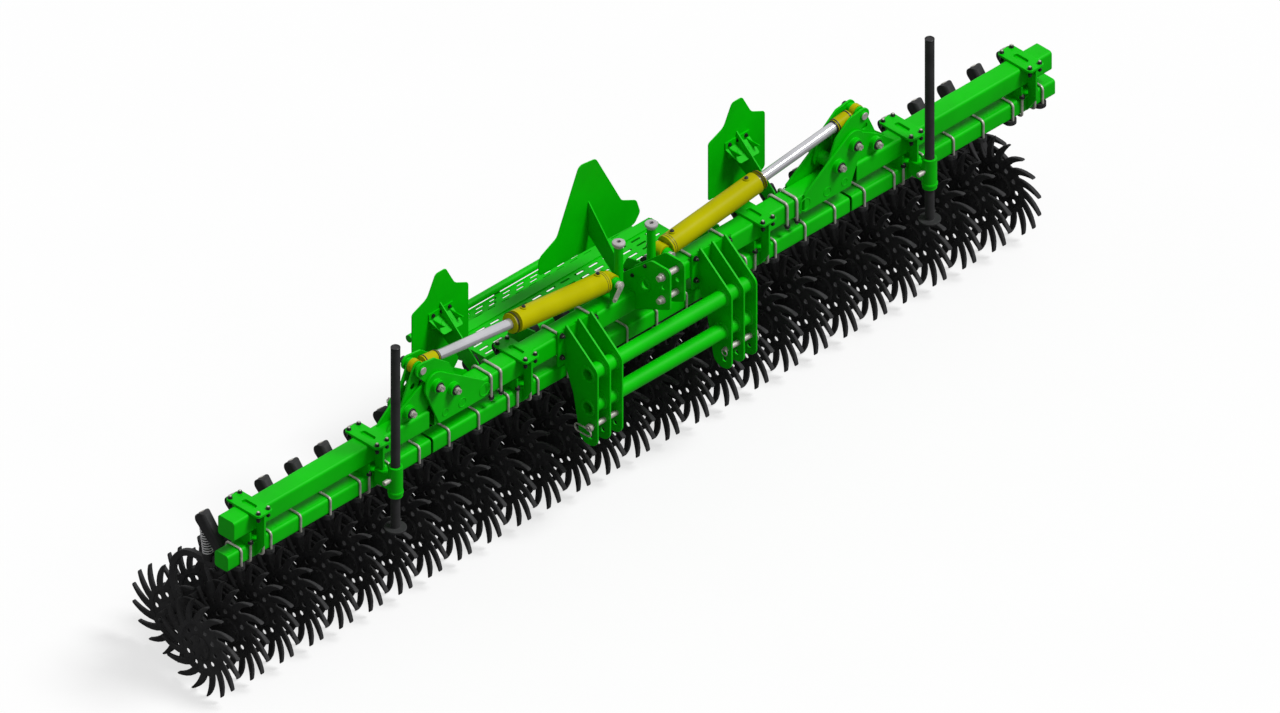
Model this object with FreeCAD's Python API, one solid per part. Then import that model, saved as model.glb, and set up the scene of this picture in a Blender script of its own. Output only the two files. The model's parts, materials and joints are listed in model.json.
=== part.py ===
"""Folding rotary hoe for row crops, 5.6 m wide, carried on a tractor's three-point linkage.

Two parallel square beams run across the machine, the tool beam under the main beam.  Twenty-eight
sprung sections hang from the tool beam, each with a leading and a trailing spider wheel.  Both
wings fold up and over onto the centre frame, each driven by a cylinder through a lever and a link.

Drawn with X across the machine, +Y to the rear from the front axle line, and Z up from the ground;
the export moves every piece so that the origin lies under the middle of the whole machine.
"""
import FreeCAD, Part
import math
import os

V = FreeCAD.Vector

# ---------------------------------------------------------------- driving dimensions, mm
# rows of wheels
SECTION_PITCH = 200.0          # from one hoe section to the next
CENTRE_COUNT = 14              # sections on the centre frame
WING_COUNT = 7                 # sections on each wing
WHEEL_TINES = 16
TIP_RADIUS = 262.0             # spider wheel, to the tips of its tines
TIP_HALF_ANGLE = 1.25          # degrees, half of a tip as seen from the axle
TINE_SWEEP = 0.183             # degrees that a tine leans forward for each mm outward
TINE_ROOT_RADIUS = 136.0       # where a tine starts inside the disc
TINE_MIDDLE_RADIUS = 205.0
TINE_ROOT_WIDTH = 40.0
TINE_MIDDLE_WIDTH = 29.0
TINE_ROOT_THICKNESS = 14.0     # along the axle
TINE_TIP_THICKNESS = 28.0
AXLE_SPACING = 295.0           # from the front axle line to the rear one
WHEEL_OFFSET = 50.0            # each wheel's plane from its section's middle
DISC_RADIUS = 150.0
DISC_THICKNESS = 8.0
DISC_HOLES = 10
DISC_HOLE_RADIUS = 13.5
DISC_HOLE_CIRCLE = 100.0
HUB_CAP_RADIUS = 67.0
HUB_CAP_DEPTH = 20.0           # from the wheel's plane to the cap's outer face
HUB_BOSS_RADIUS = 38.0
HUB_BOSS_DEPTH = 17.0          # from the wheel's plane to the boss's inner face
RUNNING_GAP = 0.3              # between a wheel's boss and the hub that carries it

# beams
BEAM_Y = -177.0                # both beams' middle, ahead of the front axle
MAIN_BEAM_SIZE = 110.0
MAIN_BEAM_Z = 1043.0
TOOL_BEAM_SIZE = 90.0
TOOL_BEAM_Z = 868.0
BEAM_WALL = 6.0
BEAM_CORNER = 16.0
MAIN_BEAM_TAIL = 56.0          # past the last section's middle
TOOL_BEAM_TAIL = 88.0
END_CAP = 8.0

# clamps that tie the tool beam under the main beam
CLAMP_PLACES = (4, 9, 13)      # in section pitches from the middle; the first is on the centre frame
CLAMP_BOLT_X = 66.0
CLAMP_BOLT_Y = 190.0
CLAMP_MARGIN = 18.0
CLAMP_PLATE = 12.0
CLAMP_WEB = 12.0
CLAMP_SLOT_HALF = 16.0
CLAMP_SLOT_END = 45.0          # from the plate's middle to either end of its slot
CLAMP_TAPER_Z = 921.0          # where the webs start to lean in to the tool beam

# hoe sections
SADDLE_NOSE_Y = -204.0         # centre of the saddle's round front end
SADDLE_DEPTH = 24.0
SADDLE_TOP = 8.0
ARM_PIVOT = (-88.0, 752.0)     # Y, Z of the pin that the arch turns on
ARM_PIVOT_EYE = 27.0
ARM_PIVOT_RADIUS = 12.0
TOWER_WIDTH = 64.0
TOWER_DEPTH = 80.0
TOWER_WALL = 4.0
TOWER_TOP_Y = 18.0
TOWER_TOP_Z = 974.0
TOWER_LENGTH = 200.0
TOWER_LEAN = 50.0              # degrees above the horizontal
TOWER_REAR_ROUND = 0.8         # of the crown's front rounding
TOWER_SHAVE = 0.5              # taken off the web's face, so that the channel alone gives it
TOWER_FLAT = 8.0               # left flat along the middle of the tower's rounded web
TOWER_FOOT_SHARE = 0.15        # of half its depth that the tower's walls keep behind its middle at the foot
ARM_THICKNESS = 25.0
ARM_DEPTH = 32.0
ARM_LEVEL = 736.0              # middle of the arch's level stretch
ARM_ROOT_RADIUS = 24.0         # round the pivot
ARM_REAR_Y = 235.0             # middle of the arch's upright stretch
ARM_ELBOW_Z = 500.0            # where the arch turns forward again
ARM_BEND = 165.0
ARM_LOWER_BEND = 150.0
ROCKER_Z = 318.0               # pivot between both wheels, where the arch ends
ROCKER_DEPTH = 40.0
ROCKER_EYE = 30.0
ARM_HUB_RADIUS = 36.0
SPRING_RADIUS = 27.0
SPRING_LENGTH = 183.0
SPRING_TURNS = 15
SPRING_WIRE = 9.0
SPRING_LEAN = 81.0             # degrees above the horizontal
SPRING_FOOT_Y = -4.0
SPRING_SEAT = 6.0
SPRING_GAP = 0.3

# wing hinge and folding linkage, right-hand side
HINGE_PAST = 9.0               # fold pin's distance past the gap between centre and wing sections
FOLD_PIN_Z = 1240.0
FOLD_ANGLE = 179.1             # degrees from spread out to folded
LEVER_PIN_AT = (-111.0, -71.0) # from the fold pin along X and Z
LINK_PIN_AT = (162.0, -85.0)
ROD_PIN_AT = (79.0, 118.0)
LINK_HOLE_AT = (113.0, 26.0)
LINK_HOLE_RADIUS = 18.0
BARREL_PIN = (173.0, 1204.0)   # X, Z
CENTRE_BEAM_SHORT = 5.0        # centre beams end this far short of the fold pin
WING_MAIN_PAST = 31.0          # wing beams start this far past it
WING_TOOL_PAST = 10.0
PIN_RADIUS = 20.0
PIN_GAP = 0.05                 # round a pin in what turns on it
BOSS_RADIUS = 34.0
EYE_HALF = 14.0                # half the width of the rod's eye
LINK_INNER = 16.0              # layers outward from the beams' middle plane
LINK_PLATE = 10.0
WING_PLATE_INNER = 28.0
WING_PLATE = 12.0
WING_PLATE_REACH = 301.0       # from the fold pin to the wing plates' outer end
LEVER_INNER = 42.0
LEVER_PLATE = 11.0
CENTRE_PLATE = 12.0
CENTRE_PLATE_REACH = 335.0     # from the fold pin to the centre plates' inner end
CENTRE_PLATE_LOW = 1004.0
CENTRE_PLATE_RADIUS = 70.0     # round the fold pin
BOSS_HEIGHT = 26.0
FOLD_PIN_REACH = 105.0
LINK_PIN_REACH = 83.0
ROD_PIN_REACH = 60.0
BARREL_PIN_REACH = 74.0

# cylinders
BARREL_RADIUS = 55.0
BARREL_START = 37.0            # from the base pin to the barrel's closed end
BARREL_BORE = 45.0
BARREL_END_WALL = 20.0
CYLINDER_STROKE = 456.0
PISTON_CLEAR = 8.0             # left behind the piston when the rod is right in
PISTON_LENGTH = 30.0
PISTON_SPARE = 52.0            # left ahead of the piston when the rod is right out
GLAND_LENGTH = 40.0
ROD_RADIUS = 27.0
ROD_GAP = 0.1                  # round the rod in its gland and the piston in its bore
ROD_END_RADIUS = 34.0
ROD_END_LENGTH = 60.0
ROD_END_SHOULDER = 14.0        # from the rod end's sleeve to its eye
EYE_RADIUS = 36.0
BASE_EYE_HALF = 30.0
BASE_LUG = 12.0
BASE_LUG_HALF = 30.0           # half the lug's width along the beam
BASE_LUG_GAP = 3.0

# buffers that the folded wings rest on
BUFFER_X = 110.0
BUFFER_RADIUS = 32.0
BUFFER_HEIGHT = 30.0
BUFFER_CLEAR = 6.0
POST_RADIUS = 22.0

# hitch
HITCH_PLATE_X = (369.0, 451.0, 534.0)
HITCH_PLATE = 10.0
HITCH_FRONT = -463.0
HITCH_TUBE_Y = -400.0
HITCH_TUBE_Z = (751.0, 943.0)
HITCH_TUBE_RADIUS = 40.0
HITCH_TUBE_BORE = 30.0
LOWER_PIN_Y = -427.0
LOWER_PIN_Z = 655.0
LOWER_PIN_RADIUS = 14.0
SPARE_HOLE_DROP = 66.0         # from the lower pin down to the spare hole
HITCH_FLANGE = 12.0
HITCH_FLANGE_TAIL = 48.0       # how far the back flange stands out past the outer plate

# top link tower
TOWER_PLATE_X = 48.0
TOWER_PLATE = 12.0
TOWER_FRONT = -466.0
TOP_PIN_Y = -418.0
TOP_PIN_Z = (1150.0, 1282.0)
TOP_PIN_RADIUS = 16.0
TOP_HOLE_RADIUS = 13.0
TOWER_HOLE_RADIUS = 25.0

# parking stands
STAND_PLACE = 9                # in section pitches from the middle
STAND_Y = -363.0
STAND_RADIUS = 23.5
STAND_WALL = 4.0
STAND_FOOT_Z = 660.0
STAND_TOP_Z = 1716.0
STAND_SOCKET_RADIUS = 36.0
STAND_SOCKET_Z = (852.0, 1024.0)
STAND_GAP = 0.1
STAND_FOOT_RADIUS = 55.0
STAND_FOOT_THICKNESS = 10.0

# plates behind the beams
BOARD_Y = 136.0
BOARD_THICKNESS = 5.0
BOARD_X = (808.0, 1190.0)
BOARD_BOTTOM = 1015.0
BOARD_SHOULDER = 335.0         # side sheets: straight edges' height
BOARD_HUMP = 493.0             # side sheets: height over all
CENTRE_BOARD_BOTTOM = 1138.0
CENTRE_BOARD_SHOULDER = 125.0
CENTRE_BOARD_HUMP = 513.0

# walkway over the rear wheels
WALK_HALF = 685.0
WALK_TOP_Z = 842.0
WALK_Y = (150.0, 415.0)
WALK_SHEET = 5.0
WALK_EDGE = 45.0
WALK_RIB = 50.0                # raised strip along the plank's rear side
WALK_RIB_RISE = 6.0
WALK_RIB_BACK = 15.0
WALK_SLOT = (60.0, 12.0)
WALK_SLOT_PITCH = (95.0, 39.0)
WALK_SLOT_ROWS = 5
WALK_SLOT_IN = 53.0            # from a plank's end to the middle of its first slot
WALK_SLOT_MARGIN = 22.0
STEP_TOP_Z = 735.0
STEP_Y = (500.0, 592.0)
STEP_SLOT = (50.0, 9.0)
STEP_SLOT_PITCH = (92.0, 23.5)
STEP_SLOT_ROWS = 3
STEP_SLOT_SHIFT = 26.0
RAIL_HALF = 740.0
RAIL_Y = 609.0
RAIL_Z = 748.0
RAIL_RADIUS = 20.0
WALK_SUPPORT_X = (150.0, 620.0)
WALK_SUPPORT = 10.0

# ---------------------------------------------------------------- worked out from them
TIP_STEP = 2.0 * math.pi / WHEEL_TINES
AXLE_Z = TIP_RADIUS * math.cos(TIP_STEP / 2.0 - math.radians(TIP_HALF_ANGLE))  # two tines on the ground
MAIN_HALF = MAIN_BEAM_SIZE / 2.0
TOOL_HALF = TOOL_BEAM_SIZE / 2.0
MAIN_TOP = MAIN_BEAM_Z + MAIN_HALF
MAIN_BOTTOM = MAIN_BEAM_Z - MAIN_HALF
TOOL_TOP = TOOL_BEAM_Z + TOOL_HALF
TOOL_BOTTOM = TOOL_BEAM_Z - TOOL_HALF
ARM_TOP = ARM_LEVEL + ARM_DEPTH / 2.0
SECTION_SPAN = SECTION_PITCH * (CENTRE_COUNT + 2 * WING_COUNT - 1)
MAIN_BEAM_END = SECTION_SPAN / 2.0 + MAIN_BEAM_TAIL
TOOL_BEAM_END = SECTION_SPAN / 2.0 + TOOL_BEAM_TAIL
CLAMP_X = [SECTION_PITCH * place for place in CLAMP_PLACES]
STAND_X = SECTION_PITCH * STAND_PLACE
FOLD_PIN = (SECTION_PITCH * CENTRE_COUNT / 2.0 + HINGE_PAST, FOLD_PIN_Z)
CENTRE_BEAM_END = FOLD_PIN[0] - CENTRE_BEAM_SHORT
WING_MAIN_START = FOLD_PIN[0] + WING_MAIN_PAST
WING_TOOL_START = FOLD_PIN[0] + WING_TOOL_PAST


def from_fold_pin(offset):
    return (FOLD_PIN[0] + offset[0], FOLD_PIN[1] + offset[1])


LEVER_PIN = from_fold_pin(LEVER_PIN_AT)
LINK_PIN = from_fold_pin(LINK_PIN_AT)
ROD_PIN = from_fold_pin(ROD_PIN_AT)
LINK_HOLE = from_fold_pin(LINK_HOLE_AT)
MACHINE_REAR = RAIL_Y + RAIL_RADIUS
FRONT_AXLE_Y = -(HITCH_FRONT + MACHINE_REAR) / 2.0


# ---------------------------------------------------------------- drawing helpers
def box(x0, x1, y0, y1, z0, z1):
    return Part.makeBox(x1 - x0, y1 - y0, z1 - z0, V(x0, y0, z0))


def bar_x(x0, x1, y, z, radius):
    return Part.makeCylinder(radius, x1 - x0, V(x0, y, z), V(1, 0, 0))


def bar_y(y0, y1, x, z, radius):
    return Part.makeCylinder(radius, y1 - y0, V(x, y0, z), V(0, 1, 0))


def bar_z(z0, z1, x, y, radius):
    return Part.makeCylinder(radius, z1 - z0, V(x, y, z0), V(0, 0, 1))


def outline(corners):
    """Closed 2-D outline from (a, b, radius) corners, as a list of straight and round pieces."""
    pieces = []
    count = len(corners)
    ends = []
    for i, (a, b, radius) in enumerate(corners):
        here = V(a, b, 0)
        before = V(corners[i - 1][0], corners[i - 1][1], 0) - here
        after = V(corners[(i + 1) % count][0], corners[(i + 1) % count][1], 0) - here
        if radius <= 0:
            ends.append((here, None, here))
            continue
        before.normalize()
        after.normalize()
        half = before.getAngle(after) / 2.0
        reach = radius / math.tan(half)
        middle = before + after
        middle.normalize()
        centre = here + middle * (radius / math.sin(half))
        ends.append((here + before * reach, centre - middle * radius, here + after * reach))
    for i, (start, top, stop) in enumerate(ends):
        if top is not None:
            pieces.append((start, top, stop))
        following = ends[(i + 1) % count][0]
        if stop.distanceToPoint(following) > 1e-6:
            pieces.append((stop, None, following))
    return pieces


def plate(plane, corners, low, high):
    """Flat plate with the given outline: plane 'xz' has its thickness along Y, and so on."""
    def place(point):
        if plane == "xz":
            return V(point.x, low, point.y)
        if plane == "yz":
            return V(low, point.x, point.y)
        return V(point.x, point.y, low)

    edges = []
    for start, top, stop in outline(corners):
        if top is None:
            edges.append(Part.makeLine(place(start), place(stop)))
        else:
            edges.append(Part.Arc(place(start), place(top), place(stop)).toShape())
    face = Part.Face(Part.Wire(edges))
    along = {"xz": V(0, 1, 0), "yz": V(1, 0, 0), "xy": V(0, 0, 1)}[plane]
    return face.extrude(along * (high - low))


def band(corners, width):
    """Corners of an even strip along a bent middle line, given as (a, b, radius) from end to end."""
    half = width / 2.0
    left, right = [], []
    for i, (a, b, radius) in enumerate(corners):
        here = V(a, b, 0)
        before = here - V(corners[i - 1][0], corners[i - 1][1], 0) if i > 0 else None
        after = V(corners[i + 1][0], corners[i + 1][1], 0) - here if i + 1 < len(corners) else None
        first = V(before or after).normalize()
        second = V(after or before).normalize()
        bisector = (first + second).normalize()
        side = V(-bisector.y, bisector.x, 0) * (half / bisector.dot(first))
        turn = first.cross(second).z
        grow = 0.0 if radius == 0 else math.copysign(half, turn)
        left.append((a + side.x, b + side.y, radius - grow))
        right.append((a - side.x, b - side.y, radius + grow))
    return left + right[::-1]


def join(shapes):
    shapes = list(shapes)
    if len(shapes) == 1:
        return shapes[0]
    return shapes[0].multiFuse(shapes[1:]).removeSplitter()


def moved(shape, x=0.0, y=0.0, z=0.0):
    copy = shape.copy()
    copy.translate(V(x, y, z))
    return copy


def other_side(shape):
    return shape.mirror(V(0, 0, 0), V(1, 0, 0))


def front_and_rear(shape):
    """The shape and its twin across the beams' middle plane."""
    return [shape, shape.mirror(V(0, BEAM_Y, 0), V(0, 1, 0))]


def square_corners(size, y, z, radius):
    half = size / 2.0
    return [(y - half, z - half, radius), (y + half, z - half, radius),
            (y + half, z + half, radius), (y - half, z + half, radius)]


# ---------------------------------------------------------------- beams and clamps
def square_beam(x0, x1, size, z, cap_low=False, cap_high=False):
    """Hollow square tube along X, with a flat cap welded in at the ends asked for."""
    outer = plate("yz", square_corners(size, BEAM_Y, z, BEAM_CORNER), x0, x1)
    inner_low = x0 + END_CAP if cap_low else x0 - 1.0
    inner_high = x1 - END_CAP if cap_high else x1 + 1.0
    inner = plate("yz", square_corners(size - 2 * BEAM_WALL, BEAM_Y, z, BEAM_CORNER - BEAM_WALL),
                  inner_low, inner_high)
    return outer.cut(inner)


def beam_clamp(x):
    """Slotted plate over the main beam, with tapered webs down both sides to the tool beam."""
    half_x = CLAMP_BOLT_X / 2.0 + CLAMP_MARGIN
    half_y = CLAMP_BOLT_Y / 2.0 + CLAMP_MARGIN
    ends = [(x - half_x, BEAM_Y - half_y, CLAMP_MARGIN), (x + half_x, BEAM_Y - half_y, CLAMP_MARGIN),
            (x + half_x, BEAM_Y + half_y, CLAMP_MARGIN), (x - half_x, BEAM_Y + half_y, CLAMP_MARGIN)]
    top = plate("xy", ends, MAIN_TOP, MAIN_TOP + CLAMP_PLATE)
    reach = CLAMP_SLOT_END
    round_end = CLAMP_SLOT_HALF - 0.5
    slot = [(x - CLAMP_SLOT_HALF, BEAM_Y - reach, round_end), (x + CLAMP_SLOT_HALF, BEAM_Y - reach, round_end),
            (x + CLAMP_SLOT_HALF, BEAM_Y + reach, round_end), (x - CLAMP_SLOT_HALF, BEAM_Y + reach, round_end)]
    top = top.cut(plate("xy", slot, MAIN_TOP - 1, MAIN_TOP + CLAMP_PLATE + 1))
    lug_y = BEAM_Y - half_y + 6.0
    web = plate("yz", [(BEAM_Y - MAIN_HALF, MAIN_TOP, 0), (lug_y, MAIN_TOP, 0), (lug_y, CLAMP_TAPER_Z, 12),
                       (BEAM_Y - TOOL_HALF, TOOL_BOTTOM + 8, 0), (BEAM_Y - TOOL_HALF, TOOL_TOP, 0),
                       (BEAM_Y - MAIN_HALF, TOOL_TOP, 0)], x - CLAMP_WEB / 2, x + CLAMP_WEB / 2)
    pieces = [top] + front_and_rear(web)
    for side in (-1, 1):
        cheek = x + side * (half_x - CLAMP_WEB / 2)
        pieces.append(box(cheek - CLAMP_WEB / 2, cheek + CLAMP_WEB / 2,
                          BEAM_Y - MAIN_HALF, BEAM_Y + MAIN_HALF, TOOL_TOP, MAIN_BOTTOM))
    pieces.append(box(x - half_x, x + half_x, BEAM_Y - MAIN_HALF, BEAM_Y + MAIN_HALF,
                      TOOL_TOP, TOOL_TOP + CLAMP_PLATE))
    return join(pieces)


# ---------------------------------------------------------------- hoe sections
def tower_section(half, inset):
    """The leaning tower's channel, half-round toward the front and open behind, set in by inset."""
    web = inset - TOWER_DEPTH / 2 + TOWER_SHAVE
    back = TOWER_DEPTH
    bend = half - TOWER_FLAT / 2
    outline = [(-half, web, bend), (half, web, bend), (half, back, 0), (-half, back, 0)]
    channel = plate("xy", outline, -TOWER_LENGTH - TOWER_DEPTH, TOWER_DEPTH)
    channel.rotate(V(0, 0, 0), V(1, 0, 0), TOWER_LEAN - 90.0)
    channel.translate(V(0, TOWER_TOP_Y, TOWER_TOP_Z))
    return channel


def section_bracket():
    """Saddle under the tool beam with the leaning spring tower behind it, both folded from sheet."""
    half = TOWER_WIDTH / 2.0
    inside = half - TOWER_WALL
    nose = SADDLE_NOSE_Y - half
    low = TOOL_BOTTOM - SADDLE_DEPTH
    pivot_y, pivot_z = ARM_PIVOT
    end_y = pivot_y + ARM_PIVOT_EYE
    eye_low = pivot_z - ARM_PIVOT_EYE
    side = [(nose, TOOL_BOTTOM, 0), (nose, low, 0), (pivot_y - 60, low, 30), (pivot_y - ARM_PIVOT_EYE, eye_low, 20),
            (end_y, eye_low, ARM_PIVOT_EYE - 2), (end_y, TOOL_BOTTOM - 15, 0), (end_y - 15, TOOL_BOTTOM, 0)]
    plan = [(-half, nose, half - 0.5), (half, nose, half - 0.5), (half, end_y, 0), (-half, end_y, 0)]
    saddle = plate("yz", side, -half, half).common(plate("xy", plan, eye_low, TOOL_BOTTOM))
    plan_inside = [(-inside, nose + TOWER_WALL, inside - 0.5), (inside, nose + TOWER_WALL, inside - 0.5),
                   (inside, end_y + 1, 0), (-inside, end_y + 1, 0)]
    saddle = saddle.cut(plate("xy", plan_inside, eye_low - 1, TOOL_BOTTOM - SADDLE_TOP))

    lean = math.radians(TOWER_LEAN)
    along = (math.cos(lean), math.sin(lean))
    across = (-along[1] * TOWER_DEPTH / 2, along[0] * TOWER_DEPTH / 2)
    foot = (TOWER_TOP_Y - along[0] * TOWER_LENGTH, TOWER_TOP_Z - along[1] * TOWER_LENGTH)
    crown = (TOWER_TOP_Y + along[0] * TOWER_DEPTH / 2, TOWER_TOP_Z + along[1] * TOWER_DEPTH / 2)
    heel = (foot[0] - across[0] * TOWER_FOOT_SHARE, foot[1] - across[1] * TOWER_FOOT_SHARE)
    round_end = TOWER_DEPTH / 2 - 0.5
    solid = plate("yz", [(foot[0] + across[0], foot[1] + across[1], 0),
                         (crown[0] + across[0], crown[1] + across[1], round_end),
                         (crown[0] - across[0], crown[1] - across[1], round_end * TOWER_REAR_ROUND),
                         (heel[0], heel[1], 0)], -half - 1, half + 1).common(tower_section(half, 0.0))
    share = 1 - 2 * TOWER_WALL / TOWER_DEPTH
    skin = (across[0] * share, across[1] * share)
    top = (crown[0] - along[0] * TOWER_WALL, crown[1] - along[1] * TOWER_WALL)
    hollow = plate("yz", [(foot[0] + skin[0], foot[1] + skin[1], 0),
                          (top[0] + skin[0], top[1] + skin[1], round_end - TOWER_WALL),
                          (top[0] - across[0], top[1] - across[1], 0),
                          (foot[0] - across[0], foot[1] - across[1], 0)], -half, half)
    hollow = hollow.common(tower_section(inside, TOWER_WALL))
    beam_space = box(-half - 1, half + 1, BEAM_Y - TOOL_HALF, BEAM_Y + TOOL_HALF, TOOL_BOTTOM, TOOL_TOP)
    tower = solid.cut(hollow).cut(beam_space)
    start, axis = spring_axis()
    seat_at = start + axis * (SPRING_LENGTH + SPRING_GAP)
    ahead = V(0, -axis.z, axis.y) * SPRING_RADIUS
    rise = axis * SPRING_SEAT
    corners = [seat_at + ahead, seat_at - ahead, seat_at - ahead + rise, seat_at + ahead + rise]
    seat = plate("yz", [(c.y, c.z, 0) for c in corners], -inside, inside).common(solid)
    return join([saddle, tower, seat]).cut(arm_pivot_pin())


def arm_pivot_pin():
    return bar_x(-TOWER_WIDTH / 2 - 6, TOWER_WIDTH / 2 + 6, ARM_PIVOT[0], ARM_PIVOT[1], ARM_PIVOT_RADIUS)


def section_arms():
    """Arched arm from its pivot pin over the front wheel, and the rocker at its end with a hub for each wheel."""
    half = ARM_THICKNESS / 2.0
    middle = AXLE_SPACING / 2.0
    arch = plate("yz", band([(ARM_PIVOT[0], ARM_LEVEL, 0), (ARM_REAR_Y, ARM_LEVEL, ARM_BEND),
                             (ARM_REAR_Y, ARM_ELBOW_Z, ARM_LOWER_BEND), (middle, ROCKER_Z, 0)], ARM_DEPTH), -half, half)
    rocker = plate("yz", band([(0, AXLE_Z, 0), (middle, ROCKER_Z, 60), (AXLE_SPACING, AXLE_Z, 0)], ROCKER_DEPTH),
                   -half, half)
    root = bar_x(-half, half, ARM_PIVOT[0], ARM_PIVOT[1], ARM_ROOT_RADIUS)
    eye = bar_x(-half - 4, half + 4, middle, ROCKER_Z, ROCKER_EYE)
    front_hub = bar_x(-WHEEL_OFFSET + HUB_BOSS_DEPTH + RUNNING_GAP, half + 6, 0, AXLE_Z, ARM_HUB_RADIUS)
    rear_hub = bar_x(-half - 6, WHEEL_OFFSET - HUB_BOSS_DEPTH - RUNNING_GAP, AXLE_SPACING, AXLE_Z, ARM_HUB_RADIUS)
    return join([arch, rocker, root, eye, front_hub, rear_hub, arm_pivot_pin()])


def spring_axis():
    """Middle of the spring's lower end, and the direction that it rises in."""
    lean = math.radians(SPRING_LEAN)
    neck = SPRING_RADIUS - SPRING_WIRE / 2.0
    return (V(0, SPRING_FOOT_Y, ARM_TOP + SPRING_GAP + neck * math.cos(lean)),
            V(0, math.cos(lean), math.sin(lean)))


def section_spring():
    """Coil spring between the arch and the tower, as one ribbed body with a rib for each turn."""
    start = spring_axis()[0]
    pitch = SPRING_LENGTH / SPRING_TURNS
    neck = SPRING_RADIUS - SPRING_WIRE / 2.0
    edges = [Part.makeLine(V(0, 0, 0), V(neck, 0, 0))]
    for turn in range(SPRING_TURNS):
        low = turn * pitch
        edges.append(Part.Arc(V(neck, 0, low), V(SPRING_RADIUS, 0, low + pitch / 2), V(neck, 0, low + pitch)).toShape())
    edges.append(Part.makeLine(V(neck, 0, SPRING_LENGTH), V(0, 0, SPRING_LENGTH)))
    edges.append(Part.makeLine(V(0, 0, SPRING_LENGTH), V(0, 0, 0)))
    ribbed = Part.Face(Part.Wire(edges)).revolve(V(0, 0, 0), V(0, 0, 1), 360)
    ribbed.rotate(V(0, 0, 0), V(1, 0, 0), SPRING_LEAN - 90.0)
    return moved(ribbed, start.x, start.y, start.z)


def section_places(first, count):
    return [first + SECTION_PITCH * i for i in range(count)]


CENTRE_X = section_places(-SECTION_PITCH * (CENTRE_COUNT - 1) / 2.0, CENTRE_COUNT)
RIGHT_X = section_places(CENTRE_X[-1] + SECTION_PITCH, WING_COUNT)
LEFT_X = section_places(CENTRE_X[0] - SECTION_PITCH * WING_COUNT, WING_COUNT)


def tine_edge(radius, width, side):
    """Point on one edge of the tine whose tip is on +Y, in the wheel's plane."""
    angle = math.radians(TINE_SWEEP * (radius - TIP_RADIUS))
    slope = math.atan(radius * math.radians(TINE_SWEEP)) + angle
    return V(0, radius * math.cos(angle) - side * width / 2 * math.sin(slope),
             radius * math.sin(angle) + side * width / 2 * math.cos(slope))


def tine():
    """One forward-curved tine, widening along the axle towards its blunt tip."""
    half_tip = math.radians(TIP_HALF_ANGLE)
    sides = []
    for side in (-1, 1):
        tip = V(0, TIP_RADIUS * math.cos(half_tip), side * TIP_RADIUS * math.sin(half_tip))
        sides.append((tine_edge(TINE_ROOT_RADIUS, TINE_ROOT_WIDTH, side),
                      tine_edge(TINE_MIDDLE_RADIUS, TINE_MIDDLE_WIDTH, side), tip))
    (root_a, middle_a, tip_a), (root_b, middle_b, tip_b) = sides
    flat = Part.Face(Part.Wire([Part.makeLine(root_b, root_a), Part.Arc(root_a, middle_a, tip_a).toShape(),
                                Part.makeLine(tip_a, tip_b), Part.Arc(tip_b, middle_b, root_b).toShape()]))
    flat.translate(V(-TINE_TIP_THICKNESS, 0, 0))
    return flat.extrude(V(2 * TINE_TIP_THICKNESS, 0, 0))


def tine_envelope():
    """Ring about the axle whose thickness grows outward, which the tines are trimmed to."""
    root, tip = TINE_ROOT_THICKNESS / 2.0, TINE_TIP_THICKNESS / 2.0
    inner, outer = TINE_ROOT_RADIUS - 10.0, TIP_RADIUS + 10.0
    grow = (tip - root) / (TIP_RADIUS - DISC_RADIUS)
    wide = tip + grow * (outer - TIP_RADIUS)
    narrow = root - grow * (DISC_RADIUS - inner)
    profile = Part.makePolygon([V(-narrow, inner, 0), V(-wide, outer, 0), V(wide, outer, 0), V(narrow, inner, 0),
                                V(-narrow, inner, 0)])
    return Part.Face(profile).revolve(V(0, 0, 0), V(1, 0, 0), 360)


def spider_wheel():
    """One spider wheel about the X axis, its hub cap towards -X."""
    one = tine().common(tine_envelope())
    tines = []
    for i in range(WHEEL_TINES):
        copy = one.copy()
        copy.rotate(V(0, 0, 0), V(1, 0, 0), -90.0 + math.degrees(TIP_STEP) * (i + 0.5))
        tines.append(copy)
    half = DISC_THICKNESS / 2.0
    disc = bar_x(-half, half, 0, 0, DISC_RADIUS)
    cap = bar_x(-HUB_CAP_DEPTH, 0, 0, 0, HUB_CAP_RADIUS)
    boss = bar_x(0, HUB_BOSS_DEPTH, 0, 0, HUB_BOSS_RADIUS)
    wheel = join([disc, cap, boss] + tines)
    for i in range(DISC_HOLES):
        angle = 2 * math.pi * i / DISC_HOLES
        wheel = wheel.cut(bar_x(-HUB_CAP_DEPTH, HUB_CAP_DEPTH, DISC_HOLE_CIRCLE * math.cos(angle),
                                DISC_HOLE_CIRCLE * math.sin(angle), DISC_HOLE_RADIUS))
    return wheel


def wheel_row(places, axle_y, side):
    wheel = spider_wheel()
    if side > 0:
        wheel = other_side(wheel)
    return [moved(wheel, x + side * WHEEL_OFFSET, axle_y, AXLE_Z) for x in places]


# ---------------------------------------------------------------- wing hinge and linkage, right side
def ring_plate(pins, radii, low, high, extra=()):
    """Plate that wraps the pins given, as the convex outline of a disc at each."""
    points = []
    steps = 24
    for (x, z), radius in zip(pins, radii):
        for i in range(steps):
            angle = 2 * math.pi * i / steps
            points.append((x + radius * math.cos(angle), z + radius * math.sin(angle)))
    points += list(extra)
    points = sorted(set((round(a, 4), round(b, 4)) for a, b in points))

    def half_hull(ordered):
        hull = []
        for p in ordered:
            while len(hull) > 1:
                (ax, az), (bx, bz) = hull[-2], hull[-1]
                if (bx - ax) * (p[1] - az) - (bz - az) * (p[0] - ax) > 0:
                    break
                hull.pop()
            hull.append(p)
        return hull[:-1]

    ring = half_hull(points) + half_hull(points[::-1])
    return plate("xz", [(a, b, 0) for a, b in ring], low, high)


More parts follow.
